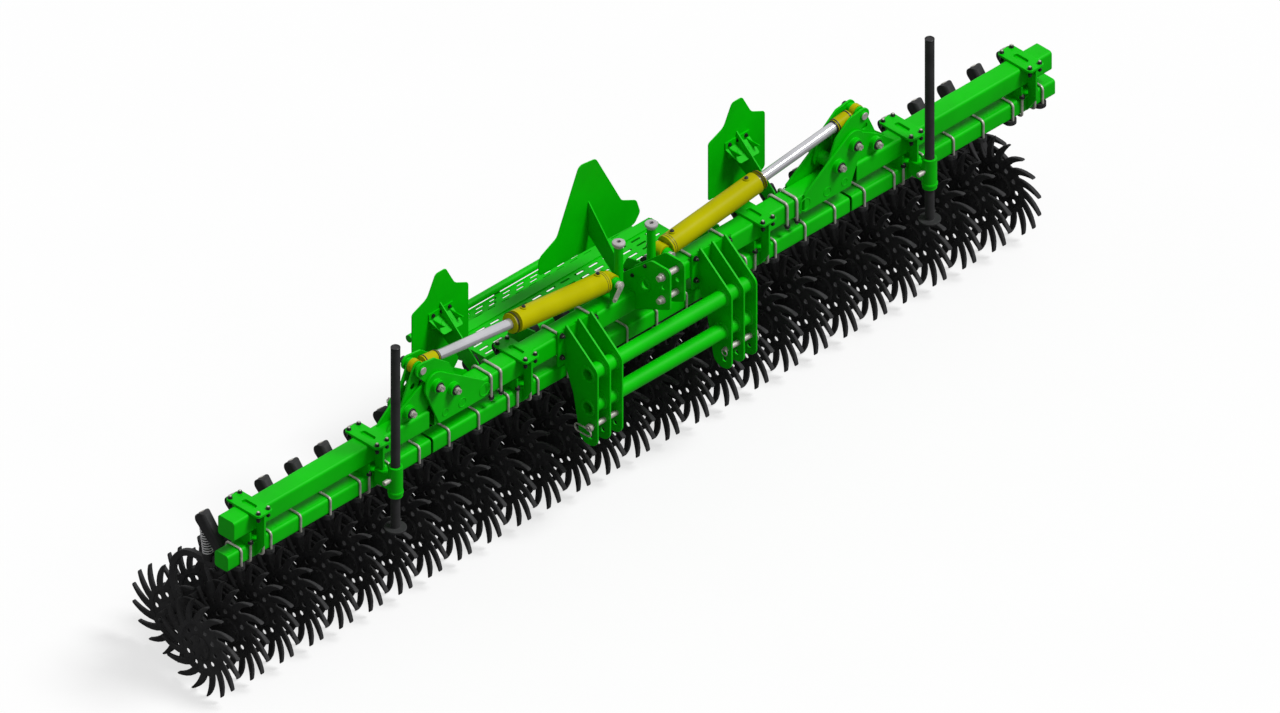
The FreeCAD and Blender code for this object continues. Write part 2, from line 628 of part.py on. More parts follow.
def centre_hinge_plates():
    """Outer pair of plates on the centre beam's end, with the bosses of two pins."""
    inner = BEAM_Y - MAIN_HALF
    outer = inner - CENTRE_PLATE
    start = FOLD_PIN[0] - CENTRE_PLATE_REACH
    sheet = ring_plate([FOLD_PIN], [CENTRE_PLATE_RADIUS], outer, inner,
                       [(start + 4, MAIN_TOP + 2), (start, CENTRE_PLATE_LOW), (CENTRE_BEAM_END - 19, CENTRE_PLATE_LOW)])
    bosses = [bar_y(outer - BOSS_HEIGHT, outer, x, z, BOSS_RADIUS) for x, z in (FOLD_PIN, LEVER_PIN)]
    halves = front_and_rear(join([sheet] + bosses))
    for pin in hinge_pins():
        halves = [half.cut(pin) for half in halves]
    return halves


def hinge_pins():
    """Fold pin and lever pin, each right across the hinge."""
    return [bar_y(BEAM_Y - FOLD_PIN_REACH, BEAM_Y + FOLD_PIN_REACH, x, z, PIN_RADIUS)
            for x, z in (FOLD_PIN, LEVER_PIN)]


def wing_hinge_plates():
    """Inner pair of plates on top of the wing's main beam."""
    outer = BEAM_Y - WING_PLATE_INNER - WING_PLATE
    inner = BEAM_Y - WING_PLATE_INNER
    sheet = ring_plate([FOLD_PIN, LINK_PIN], [52.0, 45.0], outer, inner,
                       [(WING_MAIN_START + 4, MAIN_TOP), (FOLD_PIN[0] + WING_PLATE_REACH, MAIN_TOP)])
    below = box(FOLD_PIN[0] - WING_PLATE_REACH, FOLD_PIN[0] + WING_PLATE_REACH + 1, outer - 1, inner + 1,
                MAIN_TOP - MAIN_BEAM_SIZE, MAIN_TOP)
    boss = bar_y(outer - BOSS_HEIGHT, outer, LINK_PIN[0], LINK_PIN[1], BOSS_RADIUS)
    sheet = sheet.cut(below)
    bore = bar_y(BEAM_Y - 300, BEAM_Y + 300, FOLD_PIN[0], FOLD_PIN[1], PIN_RADIUS + PIN_GAP)
    return [half.cut(bore).cut(link_pin()) for half in front_and_rear(join([sheet, boss]))]


def fold_lever():
    """Pair of bowed plates from the lever pin up to the rod's pin, notched round the fold pin."""
    outer = BEAM_Y - LEVER_INNER - LEVER_PLATE
    inner = BEAM_Y - LEVER_INNER
    sheet = ring_plate([LEVER_PIN, ROD_PIN], [52.0, 38.0], outer, inner,
                       [(LEVER_PIN[0] + 5.0, LEVER_PIN[1] + 141.0), (ROD_PIN[0] - 88.0, ROD_PIN[1] + 27.0)])
    notch_radius = PIN_RADIUS + 14.0
    toward = V(0.7071, 0, -0.7071)
    notch = bar_y(outer - 1, inner + 1, FOLD_PIN[0], FOLD_PIN[1], notch_radius)
    open_side = bar_y(outer - 1, inner + 1, FOLD_PIN[0] + toward.x * 40, FOLD_PIN[1] + toward.z * 40, notch_radius + 14)
    sheet = sheet.cut(notch).cut(open_side)
    head = bar_y(BEAM_Y - ROD_PIN_REACH, outer, ROD_PIN[0], ROD_PIN[1], PIN_RADIUS + 2)
    stub = bar_y(inner, BEAM_Y - LINK_INNER - LINK_PLATE - 1.5, ROD_PIN[0], ROD_PIN[1], BOSS_RADIUS - 8)
    bore = bar_y(BEAM_Y - 300, BEAM_Y + 300, LEVER_PIN[0], LEVER_PIN[1], PIN_RADIUS + PIN_GAP)
    tube = bar_y(BEAM_Y - LEVER_INNER, BEAM_Y + LEVER_INNER, LEVER_PIN[0], LEVER_PIN[1], BOSS_RADIUS)
    return join(front_and_rear(join([sheet, head, stub])) + [tube]).cut(bore)


def fold_link():
    """Pair of straight plates from the rod's pin down to the wing."""
    outer = BEAM_Y - LINK_INNER - LINK_PLATE
    inner = BEAM_Y - LINK_INNER
    sheet = ring_plate([ROD_PIN, LINK_PIN], [33.0, 40.0], outer, inner)
    hole = bar_y(BEAM_Y - 300, BEAM_Y + 300, LINK_HOLE[0], LINK_HOLE[1], LINK_HOLE_RADIUS)
    bore = bar_y(BEAM_Y - 300, BEAM_Y + 300, LINK_PIN[0], LINK_PIN[1], PIN_RADIUS + PIN_GAP)
    tube = bar_y(inner, BEAM_Y + LINK_INNER, LINK_PIN[0], LINK_PIN[1], BOSS_RADIUS)
    return join(front_and_rear(sheet) + [tube]).cut(hole).cut(bore)


def link_pin():
    return bar_y(BEAM_Y - LINK_PIN_REACH, BEAM_Y + LINK_PIN_REACH, LINK_PIN[0], LINK_PIN[1], PIN_RADIUS)


ROD_LINE = V(ROD_PIN[0] - BARREL_PIN[0], 0, ROD_PIN[1] - BARREL_PIN[1])
PIN_TO_PIN = ROD_LINE.Length
ROD_LINE.normalize()
BARREL_BASE = V(BARREL_PIN[0], BEAM_Y, BARREL_PIN[1])
PISTON_START = BARREL_START + BARREL_END_WALL + PISTON_CLEAR + CYLINDER_STROKE
GLAND_START = PISTON_START + PISTON_LENGTH + PISTON_SPARE
BARREL_STOP = GLAND_START + GLAND_LENGTH


def on_rod(distance):
    return BARREL_BASE + ROD_LINE * distance


def cylinder_barrel():
    """Barrel with a closed end, a gland round the rod and an eye on the base pin."""
    inside = BARREL_START + BARREL_END_WALL
    tube = Part.makeCylinder(BARREL_RADIUS, BARREL_STOP - BARREL_START, on_rod(BARREL_START), ROD_LINE)
    bore = Part.makeCylinder(BARREL_BORE, GLAND_START - inside, on_rod(inside), ROD_LINE)
    gland = Part.makeCylinder(ROD_RADIUS + ROD_GAP, BARREL_STOP - inside, on_rod(inside), ROD_LINE)
    neck = Part.makeCylinder(BASE_EYE_HALF - 4.0, BARREL_START + 1, on_rod(0), ROD_LINE)
    eye = bar_y(BEAM_Y - BASE_EYE_HALF, BEAM_Y + BASE_EYE_HALF, BARREL_PIN[0], BARREL_PIN[1], EYE_RADIUS)
    hole = bar_y(BEAM_Y - 100, BEAM_Y + 100, BARREL_PIN[0], BARREL_PIN[1], PIN_RADIUS + PIN_GAP)
    return join([tube.cut(bore).cut(gland), neck, eye]).cut(hole)


SLEEVE_STOP = PIN_TO_PIN - EYE_RADIUS - ROD_END_SHOULDER
SLEEVE_START = SLEEVE_STOP - ROD_END_LENGTH


def cylinder_rod():
    """Plated rod with its piston, as far as the rod end."""
    rod = Part.makeCylinder(ROD_RADIUS, SLEEVE_START - PISTON_START, on_rod(PISTON_START), ROD_LINE)
    piston = Part.makeCylinder(BARREL_BORE - ROD_GAP, PISTON_LENGTH, on_rod(PISTON_START), ROD_LINE)
    return join([rod, piston])


def rod_end():
    """Sleeve on the rod's end with the eye that takes the lever's pin."""
    sleeve = Part.makeCylinder(ROD_END_RADIUS, ROD_END_LENGTH, on_rod(SLEEVE_START), ROD_LINE)
    neck = Part.makeCylinder(EYE_HALF - 2.0, PIN_TO_PIN - SLEEVE_STOP, on_rod(SLEEVE_STOP), ROD_LINE)
    eye = bar_y(BEAM_Y - EYE_HALF, BEAM_Y + EYE_HALF, ROD_PIN[0], ROD_PIN[1], EYE_RADIUS)
    return join([sleeve, neck, eye])


def barrel_lugs():
    """Saddle plate on the main beam with two lugs for a cylinder's base pin."""
    half = BASE_LUG_HALF
    x, z = BARREL_PIN
    inner = BEAM_Y - BASE_EYE_HALF - BASE_LUG_GAP
    lug = plate("xz", [(x - half, MAIN_TOP, 0), (x + half, MAIN_TOP, 0),
                       (x + half, z + half, half - 0.5), (x - half, z + half, half - 0.5)],
                inner - BASE_LUG, inner)
    boss = bar_y(inner - BASE_LUG - 14.0, inner - BASE_LUG, x, z, half - 4.0)
    return [half.cut(barrel_pin()) for half in front_and_rear(join([lug, boss]))]


def barrel_pin():
    return bar_y(BEAM_Y - BARREL_PIN_REACH, BEAM_Y + BARREL_PIN_REACH, BARREL_PIN[0], BARREL_PIN[1], PIN_RADIUS)


# ---------------------------------------------------------------- hitch and top link tower
def hitch_plate(x):
    """One of the three upright plates of a lower hitch bracket."""
    half = HITCH_PLATE / 2.0
    back = BEAM_Y - MAIN_HALF - HITCH_FLANGE
    sheet = plate("yz", [(HITCH_FRONT, 545, 50), (-350, 530, 60), (-300, 790, 60), (back, 930, 20),
                         (back, 1160, 6), (HITCH_FRONT, 985, 40)], x - half, x + half)
    holes = [bar_x(x - 20, x + 20, HITCH_TUBE_Y, z, HITCH_TUBE_RADIUS) for z in HITCH_TUBE_Z]
    holes.append(bar_x(x - 20, x + 20, LOWER_PIN_Y, LOWER_PIN_Z, LOWER_PIN_RADIUS))
    holes.append(bar_x(x - 20, x + 20, LOWER_PIN_Y + 12, LOWER_PIN_Z - SPARE_HOLE_DROP, LOWER_PIN_RADIUS))
    for hole in holes:
        sheet = sheet.cut(hole)
    return sheet


def hitch_bracket():
    """Right-hand lower hitch bracket: three plates on a back flange against the main beam."""
    back = BEAM_Y - MAIN_HALF
    flange = box(HITCH_PLATE_X[0] - HITCH_FLANGE_TAIL, HITCH_PLATE_X[2] + HITCH_FLANGE_TAIL,
                 back - HITCH_FLANGE, back, 930, 1130)
    return join([flange] + [hitch_plate(x) for x in HITCH_PLATE_X])


def hitch_tubes():
    end = HITCH_PLATE_X[2] + HITCH_PLATE / 2.0
    tubes = []
    for z in HITCH_TUBE_Z:
        outer = bar_x(-end, end, HITCH_TUBE_Y, z, HITCH_TUBE_RADIUS)
        tubes.append(outer.cut(bar_x(-end - 1, end + 1, HITCH_TUBE_Y, z, HITCH_TUBE_BORE)))
    return tubes


def lower_link_pin():
    inner = HITCH_PLATE_X[0] - HITCH_PLATE / 2.0 - 8.0
    outer = HITCH_PLATE_X[2] + HITCH_PLATE / 2.0 + 22.0
    shank = bar_x(inner, outer, LOWER_PIN_Y, LOWER_PIN_Z, LOWER_PIN_RADIUS)
    head = bar_x(outer - 16, outer, LOWER_PIN_Y, LOWER_PIN_Z, LOWER_PIN_RADIUS + 6)
    return join([shank, head])


def top_link_pins():
    reach = TOWER_PLATE_X + TOWER_PLATE / 2.0 + 32.0
    return [bar_x(-reach, reach, TOP_PIN_Y, z, TOP_PIN_RADIUS) for z in TOP_PIN_Z]


def top_link_tower():
    """Two upright plates in front of the main beam, on a flange against its face."""
    face = BEAM_Y - MAIN_HALF
    plates = []
    for x in (-TOWER_PLATE_X, TOWER_PLATE_X):
        half = TOWER_PLATE / 2.0
        low, high = TOP_PIN_Z[0] - 40.0, TOP_PIN_Z[1] + 53.0
        sheet = plate("yz", [(TOWER_FRONT, low, 20), (TOWER_FRONT, high, 28), (TOP_PIN_Y + 78.0, high, 40),
                             (BEAM_Y + MAIN_HALF, MAIN_TOP + 50, 20), (BEAM_Y + MAIN_HALF, MAIN_TOP, 0),
                             (face, MAIN_TOP, 0), (face, MAIN_BOTTOM + 12, 0)], x - half, x + half)
        for z in TOP_PIN_Z:
            sheet = sheet.cut(bar_x(x - 20, x + 20, TOP_PIN_Y, z, TOP_PIN_RADIUS))
        middle = sum(TOP_PIN_Z) / 2.0
        sheet = sheet.cut(bar_x(x - 20, x + 20, TOP_PIN_Y, middle, TOP_HOLE_RADIUS))
        sheet = sheet.cut(bar_x(x - 20, x + 20, -300, 1177, TOWER_HOLE_RADIUS))
        plates.append(sheet)
    tie = box(-TOWER_PLATE_X, TOWER_PLATE_X, face - 10, face, MAIN_BOTTOM + 20, MAIN_TOP)
    return join(plates + [tie])


def fold_buffer(x):
    """Post on the main beam with a round rubber-faced pad on top."""
    short = math.radians(180.0 - FOLD_ANGLE)
    rest_z = (FOLD_PIN[1] + (FOLD_PIN[1] - MAIN_TOP) * math.cos(short)
              + (FOLD_PIN[0] - BUFFER_X - BUFFER_RADIUS) * math.sin(short) - BUFFER_CLEAR)
    post = bar_z(MAIN_TOP, rest_z - BUFFER_HEIGHT, x, BEAM_Y, POST_RADIUS)
    pad = bar_z(rest_z - BUFFER_HEIGHT, rest_z, x, BEAM_Y, BUFFER_RADIUS)
    return post, pad


# ---------------------------------------------------------------- stands, boards and walkway
def stand_socket():
    """Upright sleeve ahead of the beams, on an arm from the clamp."""
    low, high = STAND_SOCKET_Z
    sleeve = bar_z(low, high, STAND_X, STAND_Y, STAND_SOCKET_RADIUS)
    arm = box(STAND_X - 22, STAND_X + 22, STAND_Y, BEAM_Y - MAIN_HALF - 10, 880, 960).cut(beam_clamp(STAND_X))
    bore = bar_z(low - 1, high + 1, STAND_X, STAND_Y, STAND_RADIUS + STAND_GAP)
    return join([sleeve, arm]).cut(bore)


def parking_stand():
    outer = bar_z(STAND_FOOT_Z, STAND_TOP_Z, STAND_X, STAND_Y, STAND_RADIUS)
    inner = bar_z(STAND_FOOT_Z + 10, STAND_TOP_Z - 6, STAND_X, STAND_Y, STAND_RADIUS - STAND_WALL)
    foot = bar_z(STAND_FOOT_Z, STAND_FOOT_Z + STAND_FOOT_THICKNESS, STAND_X, STAND_Y, STAND_FOOT_RADIUS)
    return join([outer.cut(inner), foot])


def side_board(x0):
    """Sheet with a round hump in the middle of its top edge."""
    width = BOARD_X[1] - BOARD_X[0]
    low, high = BOARD_BOTTOM, BOARD_BOTTOM + BOARD_HUMP
    side = low + BOARD_SHOULDER
    return plate("xz", [(x0, low, 12), (x0 + width, low, 30), (x0 + width, side, 25),
                        (x0 + 0.76 * width, side + 43, 60), (x0 + 0.60 * width, high, 26),
                        (x0 + 0.42 * width, high, 26), (x0 + 0.27 * width, side + 42, 60),
                        (x0, side - 2, 20)], BOARD_Y, BOARD_Y + BOARD_THICKNESS)


def centre_board():
    """Taller sheet with one pointed hump."""
    low = CENTRE_BOARD_BOTTOM
    side = low + CENTRE_BOARD_SHOULDER
    high = low + CENTRE_BOARD_HUMP
    return plate("xz", [(-335, low + 10, 20), (310, low - 10, 40), (350, side - 80, 30), (325, side, 40),
                        (225, side + 48, 50), (52, high - 10, 36), (-62, high + 5, 36), (-212, side + 47, 50),
                        (-335, side - 15, 45)], BOARD_Y, BOARD_Y + BOARD_THICKNESS)


def board_brackets():
    """Folded arms that carry the sheets behind the main beam."""
    back = BEAM_Y + MAIN_HALF
    arms = []
    for x in (-(BOARD_X[0] + BOARD_X[1]) / 2, (BOARD_X[0] + BOARD_X[1]) / 2):
        arms.append(plate("yz", [(back, MAIN_TOP, 0), (back, MAIN_BOTTOM + 10, 0), (BOARD_Y, 1150, 0),
                                 (BOARD_Y, 1330, 0)], x - 4, x + 4))
    arms.append(plate("yz", [(back, MAIN_TOP, 0), (back, MAIN_BOTTOM + 10, 0), (BOARD_Y, 1230, 0),
                             (BOARD_Y, 1420, 0)], -4, 4))
    return arms


def slots(first_x, first_y, z, size, pitch, shift, rows):
    """Cutters for rows of round-ended slots through a plank; each row starts a shift further along."""
    length, width = size
    half = width / 2.0
    count = int((WALK_HALF - WALK_SLOT_MARGIN - length / 2.0 - (rows - 1) * shift - first_x) / pitch[0]) + 1
    cutters = []
    for row in range(rows):
        for i in range(count):
            x = first_x + row * shift + i * pitch[0]
            y = first_y + row * pitch[1]
            ends = [(x - length / 2.0, y - half, half - 0.5), (x + length / 2.0, y - half, half - 0.5),
                    (x + length / 2.0, y + half, half - 0.5), (x - length / 2.0, y + half, half - 0.5)]
            cutters.append(plate("xy", ends, z - WALK_SHEET - 1.0, z + 1.0))
    return cutters


def walkway_plank():
    z = WALK_TOP_Z
    y0, y1 = WALK_Y
    pieces = [box(-WALK_HALF, WALK_HALF, y0, y1, z - WALK_SHEET, z),
              box(-WALK_HALF, WALK_HALF, y0, y0 + WALK_SHEET, z - WALK_EDGE, z),
              box(-WALK_HALF, WALK_HALF, y1 - WALK_SHEET, y1, z - WALK_EDGE, z),
              box(-WALK_HALF, WALK_HALF, y1 - WALK_RIB_BACK - WALK_RIB, y1 - WALK_RIB_BACK, z, z + WALK_RIB_RISE)]
    return join(pieces).cut(slots(-WALK_HALF + WALK_SLOT_IN, y0 + WALK_SLOT_MARGIN, z,
                                  WALK_SLOT, WALK_SLOT_PITCH, 0.0, WALK_SLOT_ROWS))


def step_plank():
    z = STEP_TOP_Z
    y0, y1 = STEP_Y
    pieces = [box(-WALK_HALF, WALK_HALF, y0, y1 - 4, z - WALK_SHEET, z),
              box(-WALK_HALF, WALK_HALF, y0, y0 + WALK_SHEET, z - WALK_EDGE, z)]
    return join(pieces).cut(slots(-WALK_HALF + WALK_SLOT_IN, y0 + WALK_SLOT_MARGIN, z,
                                  STEP_SLOT, STEP_SLOT_PITCH, STEP_SLOT_SHIFT, STEP_SLOT_ROWS))


def walkway_supports():
    """Arms from the main beam back under the plank and on to the step, with the rear rail."""
    back = BEAM_Y + MAIN_HALF
    under = WALK_TOP_Z - WALK_EDGE
    low_edge = STEP_TOP_Z - WALK_EDGE
    pieces = []
    for x in WALK_SUPPORT_X:
        for side in (-1, 1):
            middle = side * x
            arm = plate("yz", [(back, MAIN_TOP, 0), (back, MAIN_BOTTOM, 0), (-20, MAIN_BOTTOM - 20, 20),
                               (120, under - 50, 40), (STEP_Y[0], low_edge - 40, 30), (RAIL_Y, low_edge - 30, 10),
                               (RAIL_Y, low_edge, 0), (STEP_Y[0] - 8, low_edge, 0),
                               (STEP_Y[0] - 8, STEP_TOP_Z, 0), (WALK_Y[1], under, 0), (WALK_Y[0], under, 0),
                               (20, MAIN_TOP - 20, 40)],
                        middle - WALK_SUPPORT / 2, middle + WALK_SUPPORT / 2)
            post = box(middle - 15, middle + 15, RAIL_Y - 12, RAIL_Y, low_edge - 20, RAIL_Z)
            pieces += [arm, post]
    rail = bar_x(-RAIL_HALF, RAIL_HALF, RAIL_Y, RAIL_Z, RAIL_RADIUS)
    return join(pieces + [rail])


# ---------------------------------------------------------------- the machine
def both_sides(shape):
    return [shape, other_side(shape)]


def build():
    nodes = {}

    def add(name, shapes):
        nodes[name] = shapes if isinstance(shapes, list) else [shapes]

    bracket, arms, spring = section_bracket(), section_arms(), section_spring()

    # centre frame
    add("centre_main_beam", square_beam(-CENTRE_BEAM_END, CENTRE_BEAM_END, MAIN_BEAM_SIZE, MAIN_BEAM_Z))
    add("centre_tool_beam", square_beam(-CENTRE_BEAM_END, CENTRE_BEAM_END, TOOL_BEAM_SIZE, TOOL_BEAM_Z))
    add("centre_beam_clamps", both_sides(beam_clamp(CLAMP_X[0])))
    add("centre_hinge_plates", [s for half in centre_hinge_plates() for s in both_sides(half)])
    add("hinge_pins", [s for pin in hinge_pins() for s in both_sides(pin)])
    add("cylinder_base_lugs", [s for half in barrel_lugs() for s in both_sides(half)])
    add("cylinder_base_pins", both_sides(barrel_pin()))
    add("lower_hitch_brackets", both_sides(hitch_bracket()))
    add("hitch_cross_tubes", hitch_tubes())
    add("lower_link_pins", both_sides(lower_link_pin()))
    add("top_link_tower", top_link_tower())
    add("top_link_pins", top_link_pins())
    posts, pads = zip(*[fold_buffer(x) for x in (-BUFFER_X, BUFFER_X)])
    add("buffer_posts", list(posts))
    add("buffer_pads", list(pads))
    board_width = BOARD_X[1]
    add("rear_side_boards", [side_board(-board_width), side_board(BOARD_X[0])])
    add("rear_centre_board", centre_board())
    add("board_brackets", board_brackets())
    add("walkway_plank", walkway_plank())
    add("step_plank", step_plank())
    add("walkway_supports", walkway_supports())

    # sections and wheels
    for group, places in (("centre", CENTRE_X), ("left", LEFT_X), ("right", RIGHT_X)):
        add(group + "_section_brackets", [moved(bracket, x) for x in places])
        add(group + "_wheel_arms", [moved(arms, x) for x in places])
        add(group + "_springs", [moved(spring, x) for x in places])
        add(group + "_front_wheels", wheel_row(places, 0.0, -1))
        add(group + "_rear_wheels", wheel_row(places, AXLE_SPACING, 1))

    # wings, cylinders and linkage
    right = {
        "main_beam": [square_beam(WING_MAIN_START, MAIN_BEAM_END, MAIN_BEAM_SIZE, MAIN_BEAM_Z, cap_high=True)],
        "tool_beam": [square_beam(WING_TOOL_START, TOOL_BEAM_END, TOOL_BEAM_SIZE, TOOL_BEAM_Z, cap_high=True)],
        "beam_clamps": [beam_clamp(x) for x in CLAMP_X[1:]],
        "hinge_plates": wing_hinge_plates(),
        "link_pin": [link_pin()],
        "stand_socket": [stand_socket()],
        "parking_stand": [parking_stand()],
        "fold_lever": [fold_lever()],
        "fold_link": [fold_link()],
        "cylinder_barrel": [cylinder_barrel()],
        "cylinder_rod": [cylinder_rod()],
        "rod_end": [rod_end()],
    }
    for name, shapes in right.items():
        add("right_" + name, shapes)
        add("left_" + name, [other_side(shape) for shape in shapes])
    return nodes


def export(nodes):
    os.makedirs("parts", exist_ok=True)
    for name, shapes in nodes.items():
        solids = [moved(solid, 0, FRONT_AXLE_Y, 0) for shape in shapes for solid in shape.Solids]
        Part.makeCompound(solids).exportStep("parts/" + name + ".step")


NODES = build()
export(NODES)
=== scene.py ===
import json
import math

import bmesh
import bpy
from mathutils import Matrix, Vector

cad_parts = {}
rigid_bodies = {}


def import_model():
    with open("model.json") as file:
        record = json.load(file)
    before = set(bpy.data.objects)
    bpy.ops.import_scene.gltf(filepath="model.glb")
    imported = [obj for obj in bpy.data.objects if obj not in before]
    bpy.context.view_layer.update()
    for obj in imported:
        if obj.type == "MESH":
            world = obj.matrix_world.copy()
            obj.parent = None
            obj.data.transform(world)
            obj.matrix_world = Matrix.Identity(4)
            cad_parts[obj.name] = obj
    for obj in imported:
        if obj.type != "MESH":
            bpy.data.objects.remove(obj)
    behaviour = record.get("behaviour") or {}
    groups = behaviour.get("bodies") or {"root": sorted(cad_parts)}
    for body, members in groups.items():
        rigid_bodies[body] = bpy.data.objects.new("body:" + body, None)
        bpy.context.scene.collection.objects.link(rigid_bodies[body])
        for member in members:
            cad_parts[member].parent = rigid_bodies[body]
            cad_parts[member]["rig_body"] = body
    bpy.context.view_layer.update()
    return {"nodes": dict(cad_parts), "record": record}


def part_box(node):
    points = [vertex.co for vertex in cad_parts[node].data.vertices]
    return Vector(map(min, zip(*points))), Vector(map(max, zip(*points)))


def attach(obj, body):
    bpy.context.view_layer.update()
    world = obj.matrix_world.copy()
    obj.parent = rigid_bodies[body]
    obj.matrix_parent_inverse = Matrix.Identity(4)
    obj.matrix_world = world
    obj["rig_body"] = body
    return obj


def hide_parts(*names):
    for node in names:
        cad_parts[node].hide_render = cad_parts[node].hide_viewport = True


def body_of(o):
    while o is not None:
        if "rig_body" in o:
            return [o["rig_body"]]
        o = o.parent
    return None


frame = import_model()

MM = 0.001
TAU = 2.0 * math.pi
QUARTER = math.pi / 2.0
SIDES = (-1, 1)                 # left and right, or front and rear
MERGE = 0.02                    # points nearer than this are one, mm
CRISP_ANGLE = 38.0              # edges that bend more than this stay sharp, degrees


# ---------------- materials
def srgb(code):
    """Colour of a hex code such as #00be00, as the linear numbers that shaders take."""
    parts = [int(code[i:i + 2], 16) / 255 for i in (1, 3, 5)]
    return tuple(p / 12.92 if p <= 0.04045 else ((p + 0.055) / 1.055) ** 2.4 for p in parts) + (1.0,)


def put(tree, kind, sockets=None, **settings):
    """Adds a node with its settings; each socket takes a value, or another node's output as a link."""
    made = tree.nodes.new(kind)
    for name, value in settings.items():
        setattr(made, name, value)
    for name, value in (sockets or {}).items():
        if isinstance(value, bpy.types.NodeSocket):
            tree.links.new(value, made.inputs[name])
        else:
            made.inputs[name].default_value = value
    return made


def bare_tree(owner):
    """Emptied node tree of a material or world."""
    owner.use_nodes = True
    owner.node_tree.nodes.clear()
    return owner.node_tree


def placed(obj):
    """The object, linked to the scene."""
    bpy.context.scene.collection.objects.link(obj)
    return obj


def per_metre(size_mm):
    """Texture scale that makes a pattern's features about this many millimetres wide."""
    return 1000.0 / size_mm


def finish(name, dark, light, drift_mm, grain_mm, grain_height_mm, rough, **surface):
    """Material whose tone drifts between two colours and whose surface has a fine grain; rough is its
    lowest and highest roughness, and the surface's constants go on the shader's own sockets."""
    made = bpy.data.materials.new(name)
    tree = bare_tree(made)
    place = put(tree, "ShaderNodeTexCoord").outputs["Object"]
    drift = put(tree, "ShaderNodeTexNoise", {"Vector": place, "Scale": per_metre(drift_mm), "Detail": 4.0})
    grain = put(tree, "ShaderNodeTexNoise", {"Vector": place, "Scale": per_metre(grain_mm), "Detail": 2.0})
    spread = put(tree, "ShaderNodeMapRange", {"Value": drift.outputs["Fac"], "From Min": 0.35, "From Max": 0.65})
    tone = put(tree, "ShaderNodeMix", {"Factor": spread.outputs["Result"], "A": srgb(dark), "B": srgb(light)},
               data_type="RGBA")
    gloss = put(tree, "ShaderNodeMapRange", {"Value": grain.outputs["Fac"], "From Min": 0.3, "From Max": 0.7,
                                             "To Min": rough[0], "To Max": rough[1]})
    bump = put(tree, "ShaderNodeBump", {"Height": grain.outputs["Fac"], "Strength": 0.3,
                                        "Distance": grain_height_mm * MM})
    sockets = {k.replace("_", " "): v for k, v in surface.items()}
    sockets.update({"Base Color": tone.outputs["Result"], "Roughness": gloss.outputs["Result"],
                    "Normal": bump.outputs["Normal"]})
    shader = put(tree, "ShaderNodeBsdfPrincipled", sockets)
    put(tree, "ShaderNodeOutputMaterial", {"Surface": shader.outputs["BSDF"]})
    return made


# sprayed two-coat enamel over welded plate: even, saturated, a soft sheen and a faint orange peel
green_enamel = finish("green_enamel", "#00b800", "#00c600", 260, 7, 0.10, (0.42, 0.52),
                      Specular_IOR_Level=0.16)
# the same enamel in yellow on turned and honed tube, so it lies flatter and shines more
yellow_enamel = finish("yellow_enamel", "#b0ac00", "#bab600", 200, 7, 0.06, (0.34, 0.44),
                       Specular_IOR_Level=0.05)
# powder coat baked on folded sheet: near black, satin, with the fine pebble of fused powder
black_powder = finish("black_powder_coat", "#303031", "#3a3a3b", 120, 3, 0.12, (0.45, 0.6),
                      Specular_IOR_Level=0.08)
# wheels cast in ductile iron and dipped black: a sandy skin that scatters the light
dipped_iron = finish("dipped_cast_iron", "#353536", "#404041", 60, 4, 0.35, (0.5, 0.68),
                     Specular_IOR_Level=0.06)
# bright zinc plate on rolled bar and bolts: light grey, soft, with cloudy patches from the bath
zinc_plate = finish("zinc_plate", "#a6a29c", "#c4c0ba", 40, 6, 0.05, (0.34, 0.5), Metallic=0.35)
# hard chrome, ground and polished: the brightest and smoothest surface on the machine
hard_chrome = finish("hard_chrome", "#b6b6ba", "#c8c8cc", 150, 3, 0.01, (0.14, 0.2), Metallic=0.55)
# black oxide on nuts and bolt heads: dark, oiled, slightly glossy
black_oxide = finish("black_oxide_steel", "#1f2021", "#2c2d2e", 20, 3, 0.05, (0.3, 0.42), Metallic=0.6)
# spring wire shot-peened and zinc flaked: matt light grey
spring_wire = finish("zinc_flake_spring_wire", "#e4e4e6", "#f4f4f6", 30, 3, 0.08, (0.42, 0.55))
# cast polyurethane of the buffer pads: pale grey and matt
polyurethane = finish("cast_polyurethane", "#a8a4a6", "#b8b4b6", 50, 4, 0.06, (0.5, 0.6))

FINISH = {"green_paint": green_enamel, "yellow_paint": yellow_enamel, "black_paint": black_powder,
          "spring_steel": spring_wire, "zinc": zinc_plate, "chrome": hard_chrome,
          "wheel_black": dipped_iron, "buffer_rubber": polyurethane}
SLOT_OF = {part["node"]: part["material_slot"] for part in frame["record"]["subparts"]}
SLOT_FOR = {coat.name: slot for slot, coat in FINISH.items()}
SLOT_FOR[black_oxide.name] = "black_paint"


# ---------------- places taken from the frame, in mm
class Span:
    """A node's box in millimetres, with its middle."""
    def __init__(self, node):
        low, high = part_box(node)
        self.low, self.high = low / MM, high / MM
        self.middle = (self.low + self.high) / 2.0


